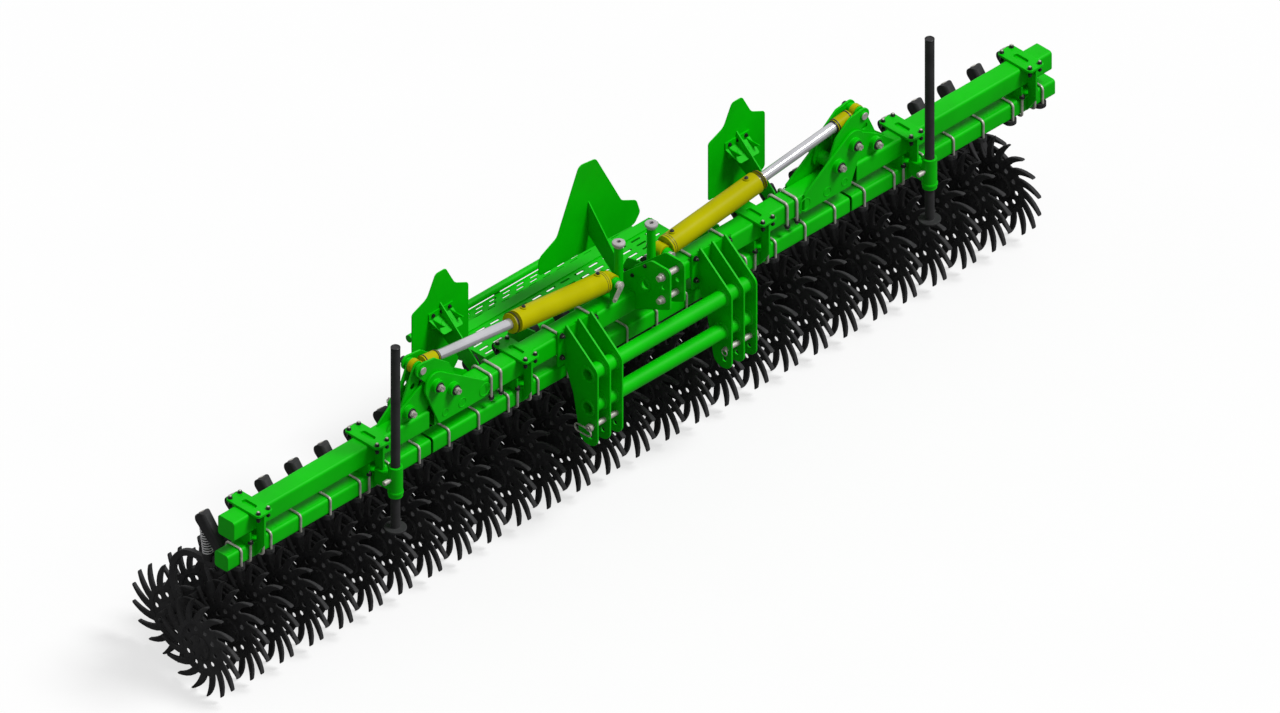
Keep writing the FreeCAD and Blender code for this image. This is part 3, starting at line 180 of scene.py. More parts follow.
front_wheels, rear_wheels = Span("centre_front_wheels"), Span("centre_rear_wheels")
main_beam, tool_beam = Span("centre_main_beam"), Span("centre_tool_beam")
AXLE_Y, AXLE_Z = front_wheels.middle.y, front_wheels.middle.z
REAR_AXLE_Y = rear_wheels.middle.y
BEAM_Y = main_beam.middle.y
MAIN_TOP, MAIN_BOTTOM = main_beam.high.z, main_beam.low.z
MAIN_HALF = (MAIN_TOP - MAIN_BOTTOM) / 2.0
TOOL_TOP, TOOL_BOTTOM = tool_beam.high.z, tool_beam.low.z
TOOL_HALF = (TOOL_TOP - TOOL_BOTTOM) / 2.0
SECTION_PITCH = 200.0
WHEEL_OFFSET = 50.0            # from a section's middle to each of its wheels
FIRST_AND_COUNT = {"centre": (-6.5, 14), "left": (-13.5, 7), "right": (7.5, 7)}     # first one in pitches
SECTIONS = {group: [SECTION_PITCH * (i + first) for i in range(count)]
            for group, (first, count) in FIRST_AND_COUNT.items()}
BODY_OF = {"centre": "frame", "left": "left_wing", "right": "right_wing"}


# ---------------- shapes, as points in mm with their faces
def skin(rings, around, base=0, closed=False):
    """Quads between rings of points that follow one another; closed, the last one also meets the first."""
    faces = []
    for i in range(rings if closed else rings - 1):
        a, b = base + i * around, base + (i + 1) % rings * around
        faces += [(a + k, a + (k + 1) % around, b + (k + 1) % around, b + k) for k in range(around)]
    return faces


def lids(rings, around):
    """Flat faces on the first and the last ring."""
    last = (rings - 1) * around
    return [tuple(range(around))[::-1], tuple(last + k for k in range(around))]


def lathe(profile, around=24):
    """Round form about the Z axis from (radius, height) pairs."""
    points = []
    for radius, height in profile:
        for i in range(around):
            angle = TAU * i / around
            points.append(Vector((radius * math.cos(angle), radius * math.sin(angle), height)))
    return points, skin(len(profile), around)


def ring(profile, around=36):
    """Lathed ring, whose profile closes on its first point."""
    return lathe(profile + profile[:1], around)


def disc(radius, low, high, edge=1.0, around=24):
    """Short round bar along Z with broken edges."""
    return lathe([(0, low), (radius - edge, low), (radius, low + edge), (radius, high - edge),
                  (radius - edge, high), (0, high)], around)


def hexagon(across, low, high):
    """Hexagonal nut or bolt head along Z, with its corners turned down at the top."""
    corner = across / math.sqrt(3.0)
    edge = across * 0.08
    return lathe([(0, low), (corner, low), (corner, high - edge), (corner - edge * 1.6, high), (0, high)], 6)


def nut_on_end(across, thick, stud, reach):
    """Washer, nut and the end of the threaded bar that stands out of it, along Z from 0."""
    return joined([disc(across * 0.62, 0, 2.5, 0.5), hexagon(across, 2.5, thick + 2.5),
                   disc(stud, thick, thick + reach, 1.5, 12)])


def castle_nut(across, thick):
    """Slotted nut: a hexagon with a crown of six teeth round the bolt's end."""
    teeth = []
    for i in range(6):
        tooth = block(across * 0.20, across * 0.46, -across * 0.13, across * 0.13, thick - 1, thick + across * 0.28)
        teeth.append(moved(tooth, Matrix.Rotation(TAU * (i + 0.5) / 6, 4, "Z")))
    return joined([hexagon(across, 0, thick), disc(across * 0.25, 0, thick + across * 0.22, 1.5, 12)] + teeth)


def block(x0, x1, y0, y1, z0, z1):
    """Box between six planes."""
    points = [Vector((x, y, z)) for x in (x0, x1) for y in (y0, y1) for z in (z0, z1)]
    faces = [(0, 1, 3, 2), (4, 6, 7, 5), (0, 4, 5, 1), (2, 3, 7, 6), (0, 2, 6, 4), (1, 5, 7, 3)]
    return points, faces


def prism(corners, low, high, edge=1.0):
    """Plate in the XY plane from its corners, with broken edges."""
    count = len(corners)
    middle = sum((Vector(c) for c in corners), Vector((0, 0))) / count
    points = []
    for height, inset in ((low, edge), (low + edge, 0), (high - edge, 0), (high, edge)):
        for c in corners:
            away = Vector(c) - middle
            points.append(Vector((*(middle + away * (1 - inset / max(away.length, edge))), height)))
    return points, lids(4, count) + skin(4, count)


def rounded(corners, steps=6):
    """Outline with each (x, y, radius) corner turned into an arc."""
    out = []
    for i, (x, y, radius) in enumerate(corners):
        here = Vector((x, y))
        before = Vector(corners[i - 1][:2]) - here
        after = Vector(corners[(i + 1) % len(corners)][:2]) - here
        if radius <= 0:
            out.append(here)
            continue
        half = before.angle(after) / 2.0
        reach = min(radius / math.tan(half), before.length / 2.01, after.length / 2.01)
        centre = here + (before.normalized() + after.normalized()).normalized() * reach / math.cos(half)
        start, stop = here + before.normalized() * reach - centre, here + after.normalized() * reach - centre
        turn = start.angle_signed(stop)
        for k in range(steps + 1):
            angle = -turn * k / steps
            out.append(centre + Matrix.Rotation(angle, 2) @ start)
    return out


def pipe(path, radius, sides=10, closed=False):
    """Round bar that follows a path of points, with flat ends unless the path is closed."""
    count = len(path)
    points = []
    up = None
    for i, here in enumerate(path):
        before = path[i - 1] if closed or i else here
        after = path[(i + 1) % count] if closed or i + 1 < count else here
        along = (after - before).normalized()
        if up is None:
            up = along.orthogonal().normalized()
        up = (up - along * up.dot(along)).normalized()
        side = along.cross(up)
        for k in range(sides):
            angle = TAU * k / sides
            points.append(here + (up * math.cos(angle) + side * math.sin(angle)) * radius)
    return points, skin(count, sides, closed=closed) + ([] if closed else lids(count, sides))


def arc(centre, radius, start, stop, steps, plane="yz"):
    """Points round an arc in the YZ or XY plane, angles in degrees."""
    out = []
    for i in range(steps + 1):
        angle = math.radians(start + (stop - start) * i / steps)
        a, b = radius * math.cos(angle), radius * math.sin(angle)
        out.append(centre + Vector((0, a, b) if plane == "yz" else (a, b, 0)))
    return out


def oval(centre, shift, radius, plane="yz"):
    """Closed path of two half rounds, each shifted the other way along the plane's first axis."""
    along = Vector((0, shift, 0) if plane == "yz" else (shift, 0, 0))
    return (arc(centre + along, radius, -90.0, 90.0, 8, plane) + arc(centre - along, radius, 90.0, 270.0, 8, plane))


def moved(shape, place):
    """Shape under a matrix, or shifted by a vector."""
    matrix = place if isinstance(place, Matrix) else Matrix.Translation(place)
    points, faces = shape
    return [matrix @ p for p in points], faces


def joined(shapes):
    """Several shapes as one."""
    points, faces = [], []
    for more, round_them in shapes:
        faces += [tuple(i + len(points) for i in face) for face in round_them]
        points += more
    return points, faces


def towards(direction):
    """Turn that takes a shape made along +Z to the given direction."""
    return direction.normalized().to_track_quat("Z", "Y").to_matrix().to_4x4()


def clean(mesh, flat_faces):
    """Merges doubles, turns the faces outward and keeps sharp edges crisp. With flat_faces, the pieces that
    a flat face was cut into become one face again; without, slivers go."""
    bm = bmesh.new()
    bm.from_mesh(mesh)
    bmesh.ops.remove_doubles(bm, verts=bm.verts, dist=MERGE * MM)
    if flat_faces:
        bmesh.ops.dissolve_limit(bm, angle_limit=math.radians(1.0), verts=bm.verts, edges=bm.edges,
                                 delimit={"NORMAL"})
    else:
        bmesh.ops.dissolve_degenerate(bm, dist=MERGE / 2.0 * MM, edges=bm.edges)
    bmesh.ops.recalc_face_normals(bm, faces=bm.faces)
    for face in bm.faces:
        face.smooth = True
    for edge in bm.edges:
        edge.smooth = len(edge.link_faces) == 2 and edge.calc_face_angle(0.0) < math.radians(CRISP_ANGLE)
    bm.to_mesh(mesh)
    bm.free()


def solid(name, shape, material):
    """Mesh object in metres from a shape in millimetres."""
    points, faces = shape
    mesh = bpy.data.meshes.new(name)
    mesh.from_pydata([p * MM for p in points], [], faces)
    mesh.materials.append(material)
    clean(mesh, False)
    return placed(bpy.data.objects.new(name, mesh))


def carried(obj, body, slot, *nodes):
    """Gives a finished piece its body and hides the nodes that it stands for; the slot argument is not used."""
    if nodes:
        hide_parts(*nodes)
    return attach(obj, body)


# ---------------- repeated pieces, by Geometry Nodes
def node_tree(name, sockets):
    """Empty geometry tree with a mesh in and out and the inputs given as (name, type)."""
    tree = bpy.data.node_groups.new(name, "GeometryNodeTree")
    for label, kind in [("Geometry", "NodeSocketGeometry")] + sockets:
        tree.interface.new_socket(label, in_out="INPUT", socket_type=kind)
    tree.interface.new_socket("Geometry", in_out="OUTPUT", socket_type="NodeSocketGeometry")
    return tree


def on_points(tree, given, instance):
    """Ends a tree: one instance stands on each point, turned by the point's own attribute, as real mesh."""
    turn = put(tree, "GeometryNodeInputNamedAttribute", {"Name": "turn"}, data_type="FLOAT_VECTOR")
    stood = put(tree, "GeometryNodeInstanceOnPoints", {
        "Points": given.outputs["Geometry"], "Instance": instance, "Rotation": turn.outputs["Attribute"]})
    real = put(tree, "GeometryNodeRealizeInstances", {"Geometry": stood.outputs["Instances"]})
    coated = put(tree, "GeometryNodeSetMaterial", {"Geometry": real.outputs["Geometry"],
                                                   "Material": given.outputs["Finish"]})
    put(tree, "NodeGroupOutput", {"Geometry": coated.outputs["Geometry"]})
    return tree


def placed_copies_tree():
    """A copy of the shape stands on each point."""
    tree = node_tree("placed_copies", [("Shape", "NodeSocketObject"), ("Finish", "NodeSocketMaterial")])
    given = put(tree, "NodeGroupInput")
    shape = put(tree, "GeometryNodeObjectInfo", {"Object": given.outputs["Shape"]})
    return on_points(tree, given, shape.outputs["Geometry"])


def coil_springs_tree():
    """A coil of round wire stands on each point."""
    tree = node_tree("coil_springs", [("Turns", "NodeSocketFloat"), ("Coil Radius", "NodeSocketFloat"),
                                      ("Wire Radius", "NodeSocketFloat"), ("Length", "NodeSocketFloat"),
                                      ("Finish", "NodeSocketMaterial")])
    given = put(tree, "NodeGroupInput")
    helix = put(tree, "GeometryNodeCurveSpiral", {
        "Resolution": 16, "Rotations": given.outputs["Turns"], "Start Radius": given.outputs["Coil Radius"],
        "End Radius": given.outputs["Coil Radius"], "Height": given.outputs["Length"]})
    wire = put(tree, "GeometryNodeCurvePrimitiveCircle", {"Resolution": 8, "Radius": given.outputs["Wire Radius"]})
    coil = put(tree, "GeometryNodeCurveToMesh", {"Curve": helix.outputs["Curve"],
                                                 "Profile Curve": wire.outputs["Curve"], "Fill Caps": True})
    return on_points(tree, given, coil.outputs["Mesh"])


PLACED_COPIES = placed_copies_tree()
COIL_SPRINGS = coil_springs_tree()


def grown(name, tree, places, values):
    """Plain mesh that a tree grows on the places; each place is a point in mm and a turn."""
    mesh = bpy.data.meshes.new(name + "_places")
    mesh.from_pydata([Vector(point) * MM for point, _ in places], [], [])
    turns = mesh.attributes.new("turn", "FLOAT_VECTOR", "POINT")
    for i, (_, turn) in enumerate(places):
        turns.data[i].vector = tuple(turn.to_euler())
    host = placed(bpy.data.objects.new(name + "_places", mesh))
    grow = host.modifiers.new("grow", "NODES")
    grow.node_group = tree
    sockets = {item.name: item.identifier for item in tree.interface.items_tree if item.in_out == "INPUT"}
    for label, value in values.items():
        grow[sockets[label]] = value
    bpy.context.view_layer.update()
    result = bpy.data.meshes.new_from_object(host.evaluated_get(bpy.context.evaluated_depsgraph_get()))
    result.name = name
    bpy.data.objects.remove(host)
    return placed(bpy.data.objects.new(name, result))


def copies(name, shape, material, places):
    """One mesh with a copy of the shape at each place."""
    pattern = solid(name + "_pattern", shape, material)
    made = grown(name, PLACED_COPIES, places, {"Shape": pattern, "Finish": material})
    bpy.data.objects.remove(pattern)
    return made


def turned(axis, degrees):
    """Turn about X, Y or Z."""
    return Matrix.Rotation(math.radians(degrees), 3, axis)


# turns of a shape that was made along +Z
STRAIGHT = Matrix.Identity(3)
DOWN = turned("X", 180.0)
LEFTWARD, RIGHTWARD = turned("Y", -90.0), turned("Y", 90.0)
FORWARD, BACKWARD = turned("X", 90.0), turned("X", -90.0)
ACROSS = {-1: LEFTWARD, 1: RIGHTWARD}
LENGTHWAYS = {-1: FORWARD, 1: BACKWARD}      # forward is the hitch side, -Y


def fitted(name, shape, material, places, body, *nodes):
    """Copies of a shape at its places, carried by one body."""
    return carried(copies(name, shape, material, places), body, SLOT_FOR[material.name], *nodes)


def fixed(name, shape, material, body):
    """One piece drawn where it is, carried by one body."""
    return carried(solid(name, shape, material), body, SLOT_FOR[material.name])


# ---------------- solids carried over, with broken edges
def dressed(node, body, material, edge_mm):
    """Copy of a node's solid whose sharp edges are broken, so that they catch the light; it stands for the node."""
    source = frame["nodes"][node]
    mesh = source.data.copy()
    mesh.name = node + "_painted"
    clean(mesh, True)
    mesh.materials.clear()
    mesh.materials.append(material)
    made = placed(bpy.data.objects.new(mesh.name, mesh))
    bevel = made.modifiers.new("broken_edges", "BEVEL")
    bevel.width = edge_mm * MM
    bevel.segments = 2
    bevel.limit_method = "ANGLE"
    bevel.angle_limit = math.radians(50.0)
    bevel.use_clamp_overlap = True
    bevel.miter_outer = "MITER_ARC"
    bevel.harden_normals = False
    return carried(made, body, SLOT_OF[node], node)


# ---------------- spider wheels
TINES = 16
TIP_RADIUS = 262.0
TINE_SWEEP = 0.183             # degrees of turn for each mm of radius
TINE_RINGS = (138.0, 165.0, 192.0, 218.0, 242.0, 258.5, TIP_RADIUS)
TINE_WIDTHS = ((136.0, 40.0), (205.0, 28.5), (TIP_RADIUS, 10.4))     # at three radii
TINE_THICKNESS = ((150.0, 14.0), (TIP_RADIUS, 24.0))                 # at two radii, along the axle
TINE_END = 3.0                 # inset of the blunt tip's rounding
DISC_HOLES = 10
HOLE_CIRCLE = 100.0
HOLE_RADIUS = 13.5
WEB_HALF = 4.0
RIM_STEP = 121.0
RIM_RADIUS = 150.0
CAP_RADIUS = 67.0
CAP_BOLTS = 5
CAP_BOLT_CIRCLE = 50.0


def tine_width(radius):
    """Width of a tine, on the parabola through its root, middle and tip."""
    total = 0.0
    for i, (at, width) in enumerate(TINE_WIDTHS):
        share = width
        for j, (other, _) in enumerate(TINE_WIDTHS):
            if j != i:
                share *= (radius - other) / (at - other)
        total += share
    return total


def tine():
    """One forward-curved tine with rounded corners, wider along the axle at its blunt tip."""
    (low, thin), (high, thick) = TINE_THICKNESS
    points = []
    for radius in TINE_RINGS:
        inset = TINE_END if radius == TIP_RADIUS else 0.0
        angle = math.radians(TINE_SWEEP * (radius - TIP_RADIUS))
        lean = min(1.0, (TIP_RADIUS - radius) / (TIP_RADIUS - TINE_WIDTHS[1][0]))
        slope = math.atan(radius * math.radians(TINE_SWEEP)) * lean + angle
        middle = Vector((0, radius * math.cos(angle), radius * math.sin(angle)))
        across = Vector((0, -math.sin(slope), math.cos(slope)))
        half = tine_width(radius) / 2.0 - inset
        deep = (thin + (thick - thin) * (radius - low) / (high - low)) / 2.0 - inset
        corner = min(3.0, half * 0.5)
        for a, b in ((half, deep - corner), (half - corner, deep), (corner - half, deep), (-half, deep - corner),
                     (-half, corner - deep), (corner - half, -deep), (half - corner, -deep), (half, corner - deep)):
            points.append(middle + across * a + Vector((b, 0, 0)))
    return points, skin(len(TINE_RINGS), 8) + lids(len(TINE_RINGS), 8)


def pierced_web():
    """Disc between cap and rim step with its ring of round holes; the holes' edges are broken."""
    half, steps = WEB_HALF, 12
    sector = TAU / DISC_HOLES
    points, faces = [], []
    inner, outer = CAP_RADIUS - 8.0, RIM_STEP
    for s in range(DISC_HOLES):
        middle = sector * s
        centre = Vector((0, HOLE_CIRCLE * math.cos(middle), HOLE_CIRCLE * math.sin(middle)))
        corners = []
        for k in range(steps):
            side, share = divmod(k, 3)
            share /= 3.0
            if side == 0:
                radius, angle = outer, middle + sector * (share - 0.5)
            elif side == 1:
                radius, angle = outer + (inner - outer) * share, middle + sector / 2.0
            elif side == 2:
                radius, angle = inner, middle + sector * (0.5 - share)
            else:
                radius, angle = inner + (outer - inner) * share, middle - sector / 2.0
            corners.append(Vector((0, radius * math.cos(angle), radius * math.sin(angle))))
        base = len(points)
        for x, grow in ((-half, None), (-half, 1.0), (1.0 - half, 0.0), (half - 1.0, 0.0), (half, 1.0), (half, None)):
            for corner in corners:
                at = corner if grow is None else centre + (corner - centre).normalized() * (HOLE_RADIUS + grow)
                points.append(at + Vector((x, 0, 0)))
        faces += skin(6, steps, base)
    return points, faces


def spider_wheel():
    """Wheel about the X axis with its cap towards -X: pierced disc, stepped rim, tines, cap and boss."""
    along_x = Matrix.Rotation(QUARTER, 4, "Y")
    rim = ring([(RIM_STEP, -4.0), (RIM_STEP + 1.5, -6.0), (RIM_RADIUS - 2.0, -6.0), (RIM_RADIUS, -4.5),
                (RIM_RADIUS, 4.5), (RIM_RADIUS - 2.0, 6.0), (RIM_STEP + 1.5, 6.0), (RIM_STEP, 4.0)], 40)
    cap = lathe([(0, -20.0), (34.0, -20.0), (38.0, -17.0), (62.0, -16.0), (65.0, -13.0), (CAP_RADIUS, -4.0),
                 (CAP_RADIUS, 4.0), (52.0, 6.0), (40.0, 7.0), (38.0, 16.0), (36.0, 17.0), (0, 17.0)], 30)
    pieces = [moved(cap, along_x), moved(rim, along_x), pierced_web()]
    head = moved(hexagon(17.0, 0, 7.0), Matrix.Rotation(-QUARTER, 4, "Y"))
    for i in range(CAP_BOLTS):
        angle = TAU * (i + 0.25) / CAP_BOLTS
        at = Vector((-16.0, CAP_BOLT_CIRCLE * math.cos(angle), CAP_BOLT_CIRCLE * math.sin(angle)))
        pieces.append(moved(head, at))
    for i in range(TINES):
        pieces.append(moved(tine(), Matrix.Rotation(TAU * (i + 0.5) / TINES - QUARTER, 4, "X")))
    return joined(pieces)


def mirrored(shape):
    """The shape with left and right swapped."""
    points, faces = shape
    return [Vector((-p.x, p.y, p.z)) for p in points], [tuple(reversed(face)) for face in faces]


wheel = spider_wheel()
for group, places in SECTIONS.items():
    for row, axle_y, side, shape in (("front", AXLE_Y, -1, wheel), ("rear", REAR_AXLE_Y, 1, mirrored(wheel))):
        node = "%s_%s_wheels" % (group, row)
        spots = [(Vector((x + side * WHEEL_OFFSET, axle_y, AXLE_Z)), STRAIGHT) for x in places]
        fitted(node + "_cast", shape, dipped_iron, spots, node, node)


# ---------------- springs
SPRING_LEAN = 81.0             # from level, degrees
SPRING_LENGTH = 183.0
SPRING_RADIUS = 27.0
SPRING_NECK = 22.5             # along the lean, from the solid's lowest point to the coil's foot
SPRING_WIRE = 3.0              # radius of the wire
SPRING_TURNS = 13.0
SPRING_FOOT = -4.0             # the coil's foot, behind the front axle
GUIDE_RADIUS = 19.5            # dark guide inside the coil
SEAT_RADIUS = 25.0             # discs that close the coil's ends

spring_turn = turned("X", SPRING_LEAN - 90.0)
spring_cup = ring([(28.0, 0.5), (29.0, -0.5), (30.0, 0.5), (30.0, 33.0), (29.4, 34.0), (28.0, 34.0)], 28)
spring_guide = joined([disc(GUIDE_RADIUS, -2.0, SPRING_LENGTH + 2.0, 1.5), disc(SEAT_RADIUS, -3.0, 1.0),
                       disc(SEAT_RADIUS, SPRING_LENGTH - 1.0, SPRING_LENGTH + 3.0)])
coil_values = {"Turns": SPRING_TURNS, "Coil Radius": (SPRING_RADIUS - SPRING_WIRE) * MM,
               "Wire Radius": SPRING_WIRE * MM, "Length": (SPRING_LENGTH - 2.0 * SPRING_WIRE) * MM,
               "Finish": spring_wire}
for group, places in SECTIONS.items():
    node, body = group + "_springs", BODY_OF[group]
    foot_z = Span(node).low.z + SPRING_NECK * math.cos(math.radians(SPRING_LEAN))
    feet = [(Vector((x, AXLE_Y + SPRING_FOOT, foot_z)), spring_turn) for x in places]
    starts = [(foot + spring_turn @ Vector((0, 0, SPRING_WIRE)), spring_turn) for foot, _ in feet]
    coils = grown(group + "_spring_coils", COIL_SPRINGS, starts, coil_values)
    for polygon in coils.data.polygons:
        polygon.use_smooth = True
    carried(coils, body, "spring_steel", node)
    fitted(group + "_spring_guides", spring_guide, black_powder, feet, body)
    fitted(group + "_spring_cups", spring_cup, black_powder, feet, body)


# ---------------- U-bolts, bolts and nuts
BAR = 7.0                      # radius of the heavier bars
BEND = 18.0                    # radius of their bends
SECTION_BAR = 6.2              # radius of the sections' bars
SECTION_SHIFT = -3.0           # from a section's middle to its bar
SADDLE_TOP = 8.0               # from the tool beam down to the saddle's inner face
BOARD_BARS = (965.0, 1030.0)
HITCH_BARS = (339.0, 563.0)
BAR_END = 16.0                 # how far the hitch bars stand out of the flange that they hold
FLANGE = 12.0                  # back flange of the lower hitch brackets
CLAMP_PLATE = 12.0
CLAMPS = {"frame": (-800.0, 800.0), "left_wing": (-2600.0, -1800.0), "right_wing": (1800.0, 2600.0)}
CLAMP_BOLT_X, CLAMP_BOLT_Y = 33.0, 95.0
CLAMP_BAR_X = 43.0


def bent(reach, crown, stop, bar, y=0.0):
    """Round bar bent over a square beam, drawn in the YZ plane: its bends are at crown and its legs end at stop."""
    up = 1 if crown > stop else -1
    path = [Vector((0, y - reach, stop))]
    path += arc(Vector((0, y - reach + BEND, crown - up * BEND)), BEND, 180.0, 180.0 - up * 90.0, 5)
    path += arc(Vector((0, y + reach - BEND, crown - up * BEND)), BEND, up * 90.0, 0.0, 5)
    path.append(Vector((0, y + reach, stop)))
    return pipe(path, bar)


def fasten(name, body, bar_shape, bar_places, nut_shape, nut_places):
    """Bent bars with their nuts on one body: the bars bright, the nuts dark."""
    fitted(name, bar_shape, zinc_plate, bar_places, body)
    fitted(name + "_nuts", nut_shape, black_oxide, nut_places, body)


# bars that hang each section's saddle from the tool beam
section_reach = TOOL_HALF + SECTION_BAR
section_bolt = bent(section_reach, TOOL_TOP + SECTION_BAR, TOOL_BOTTOM - 12.0, SECTION_BAR, BEAM_Y)
section_nut = nut_on_end(18.0, 10.0, SECTION_BAR - 0.5, 3.0)
bar_nut = nut_on_end(24.0, 12.0, BAR - 0.5, 12.0)
for group, places in SECTIONS.items():
    fasten(group + "_section_u_bolts", BODY_OF[group], section_bolt,
           [(Vector((x + SECTION_SHIFT, 0, 0)), STRAIGHT) for x in places], section_nut,
           [(Vector((x + SECTION_SHIFT, BEAM_Y + side * section_reach, TOOL_BOTTOM - SADDLE_TOP)), DOWN)
            for x in places for side in SIDES])

# bars over the main beam that hold the side sheets' brackets, two on each side of the centre frame
board_bars = [side * x for side in SIDES for x in BOARD_BARS]
main_reach = MAIN_HALF + BAR
board_bolt = bent(main_reach, MAIN_TOP + BAR, MAIN_BOTTOM - 26.0, BAR, BEAM_Y)
fasten("board_bracket_u_bolts", "frame", board_bolt, [(Vector((x, 0, 0)), STRAIGHT) for x in board_bars], bar_nut,
       [(Vector((x, BEAM_Y + side * main_reach, MAIN_BOTTOM - 6.0)), DOWN) for x in board_bars for side in SIDES])

# bars round the back of the main beam that hold the lower hitch brackets' flanges
flange_front = BEAM_Y - MAIN_HALF - FLANGE
hitch_bars = [side * x for side in SIDES for x in HITCH_BARS]
back, low, high = BEAM_Y + main_reach, MAIN_BOTTOM - BAR, MAIN_TOP + BAR
round_back = [Vector((0, flange_front - BAR_END, high))]
round_back += arc(Vector((0, back - BEND, high - BEND)), BEND, 90.0, 0.0, 5)
round_back += arc(Vector((0, back - BEND, low + BEND)), BEND, 0.0, -90.0, 5)
round_back.append(Vector((0, flange_front - BAR_END, low)))
fasten("hitch_bracket_u_bolts", "frame", pipe(round_back, BAR), [(Vector((x, 0, 0)), STRAIGHT) for x in hitch_bars],
       bar_nut, [(Vector((x, flange_front, z)), FORWARD) for x in hitch_bars for z in (low, high)])

# clamps: four bolts through the top plate of each, and bars up round the tool beam to the plate on top of it
clamp_bolt = joined([disc(12.0, 0, 2.5, 0.5), hexagon(19.0, 2.5, 13.0), disc(6.5, -46.0, 1.0),
                     hexagon(19.0, -40.0, -28.0), disc(12.0, -15.0, -CLAMP_PLATE, 0.5)])
clamp_bolt_end = disc(6.5, 12.0, 17.0, 1.5, 16)
bar_reach = TOOL_HALF + BAR
under_bar = bent(bar_reach, TOOL_BOTTOM - BAR, TOOL_TOP + 30.0, BAR)
for body, places in CLAMPS.items():
    heads = [(Vector((x + a * CLAMP_BOLT_X, BEAM_Y + b * CLAMP_BOLT_Y, MAIN_TOP + CLAMP_PLATE)), STRAIGHT)
             for x in places for a in SIDES for b in SIDES]
    fitted(body + "_clamp_bolts", clamp_bolt, black_oxide, heads, body)
    fitted(body + "_clamp_bolt_ends", clamp_bolt_end, zinc_plate, heads, body)
    bars = [Vector((x + a * CLAMP_BAR_X, BEAM_Y, 0)) for x in places for a in SIDES]
    fasten(body + "_clamp_bars", body, under_bar, [(bar, STRAIGHT) for bar in bars], bar_nut,
           [(bar + Vector((0, b * bar_reach, TOOL_TOP + CLAMP_PLATE)), STRAIGHT) for bar in bars for b in SIDES])


# ---------------- spring towers and wheel arms
TOWER_LEAN = 50.0              # from level, degrees
TOWER_REACH = 40.0             # along the lean, from the tower's corner to the ring in its crown
TOWER_CORNER = Vector((0, AXLE_Y + 18.0, 974.0))
PIVOT = Vector((0, AXLE_Y - 88.0, 752.0))
PIVOT_HALF, ROCKER_HALF, HUB_HALF = 38.0, 16.5, 18.5
ROCKER = Vector((0, AXLE_Y + (REAR_AXLE_Y - AXLE_Y) / 2.0, 318.0))

lean = math.radians(TOWER_LEAN)
crown = TOWER_CORNER + Vector((0, math.cos(lean), math.sin(lean))) * TOWER_REACH
crown_turn = turned("X", TOWER_LEAN - 90.0)
crown_ring = ring([(9.0, -1.0), (9.0, 1.0), (10.0, 2.0), (14.0, 2.0), (15.0, 1.0), (15.0, -1.0)], 28)
side_nut = joined([disc(17.0, 0, 3.0, 0.8), hexagon(26.0, 3.0, 15.0), disc(7.0, 14.0, 20.0, 1.5, 12)])
for group, places in SECTIONS.items():
    body = BODY_OF[group]
    fitted(group + "_tower_bolts", crown_ring, zinc_plate,
           [(crown + Vector((x, 0, 0)), crown_turn) for x in places], body)
    nuts = [(at + Vector((x + side * half, 0, 0)), ACROSS[side])
            for at, half in ((PIVOT, PIVOT_HALF), (ROCKER, ROCKER_HALF)) for x in places for side in SIDES]
    nuts += [(Vector((x + side * HUB_HALF, y, AXLE_Z)), ACROSS[side]) for x in places
             for side, y in ((1, AXLE_Y), (-1, REAR_AXLE_Y))]
    fitted(group + "_pivot_nuts", side_nut, black_oxide, nuts, body)


# ---------------- wing hinge: pins with slotted nuts
FOLD_PIN = (1409.0, 1240.0)     # each pin's distance from the middle and its height
LEVER_PIN = (1298.0, 1169.0)
LINK_PIN = (1571.0, 1155.0)
ROD_PIN = (1488.0, 1358.0)
BARREL_PIN = (173.0, 1204.0)
PIN_RADIUS = 20.0
HINGE_PLATE = 12.0
PIN_PAST_PLATE = 26.0
INNER_PLATE = 28.0             # from the beams' middle plane to a wing's hinge plate
ROD_PIN_HALF = 60.0
PLUG_Z = 1050.0
PLUGS = ((35.0, 1080.0), (25.0, 1230.0), (20.0, 1345.0))     # radius and distance from the middle


def on_pin(pin, side, y=0.0):
    """Point on a pin's axis, y behind the beams' middle plane."""
    return Vector((side * pin[0], BEAM_Y + y, pin[1]))


plate_face = MAIN_HALF + HINGE_PLATE
centre_boss = plate_face + PIN_PAST_PLATE
pin_washer = disc(26.0, 0, 4.0, 0.8)
slotted = joined([moved(castle_nut(32.0, 12.0), Vector((0, 0, 4.0))), disc(9.5, 4.0, 22.0, 2.5, 16)])
centre_pins = [(pin, side) for side in SIDES for pin in (FOLD_PIN, LEVER_PIN)]
fitted("hinge_pins_turned", disc(PIN_RADIUS, -centre_boss, centre_boss, 2.0), zinc_plate,
       [(on_pin(pin, side), FORWARD) for pin, side in centre_pins], "frame", "hinge_pins")
ends = [(on_pin(pin, side, face * centre_boss), LENGTHWAYS[face]) for pin, side in centre_pins for face in SIDES]
fitted("hinge_pin_washers", pin_washer, black_oxide, ends, "frame")
fitted("hinge_pin_nuts", slotted, zinc_plate, ends, "frame")
for radius, x in PLUGS:
    plug = ring([(radius - 4.0, -1.0), (radius - 3.0, 1.5), (radius - 1.0, 2.5), (radius + 1.0, 1.5),
                 (radius + 2.0, -1.0)])
    fitted("hinge_plate_plugs_%d" % radius, plug, green_enamel,
           [(on_pin((x, PLUG_Z), side, face * plate_face), LENGTHWAYS[face]) for side in SIDES for face in SIDES],
           "frame")
link_boss = INNER_PLATE + HINGE_PLATE + PIN_PAST_PLATE
pin_tail = joined([disc(19.0, -1.0, 22.0, 3.0), disc(23.0, 3.0, 9.0, 1.5)])
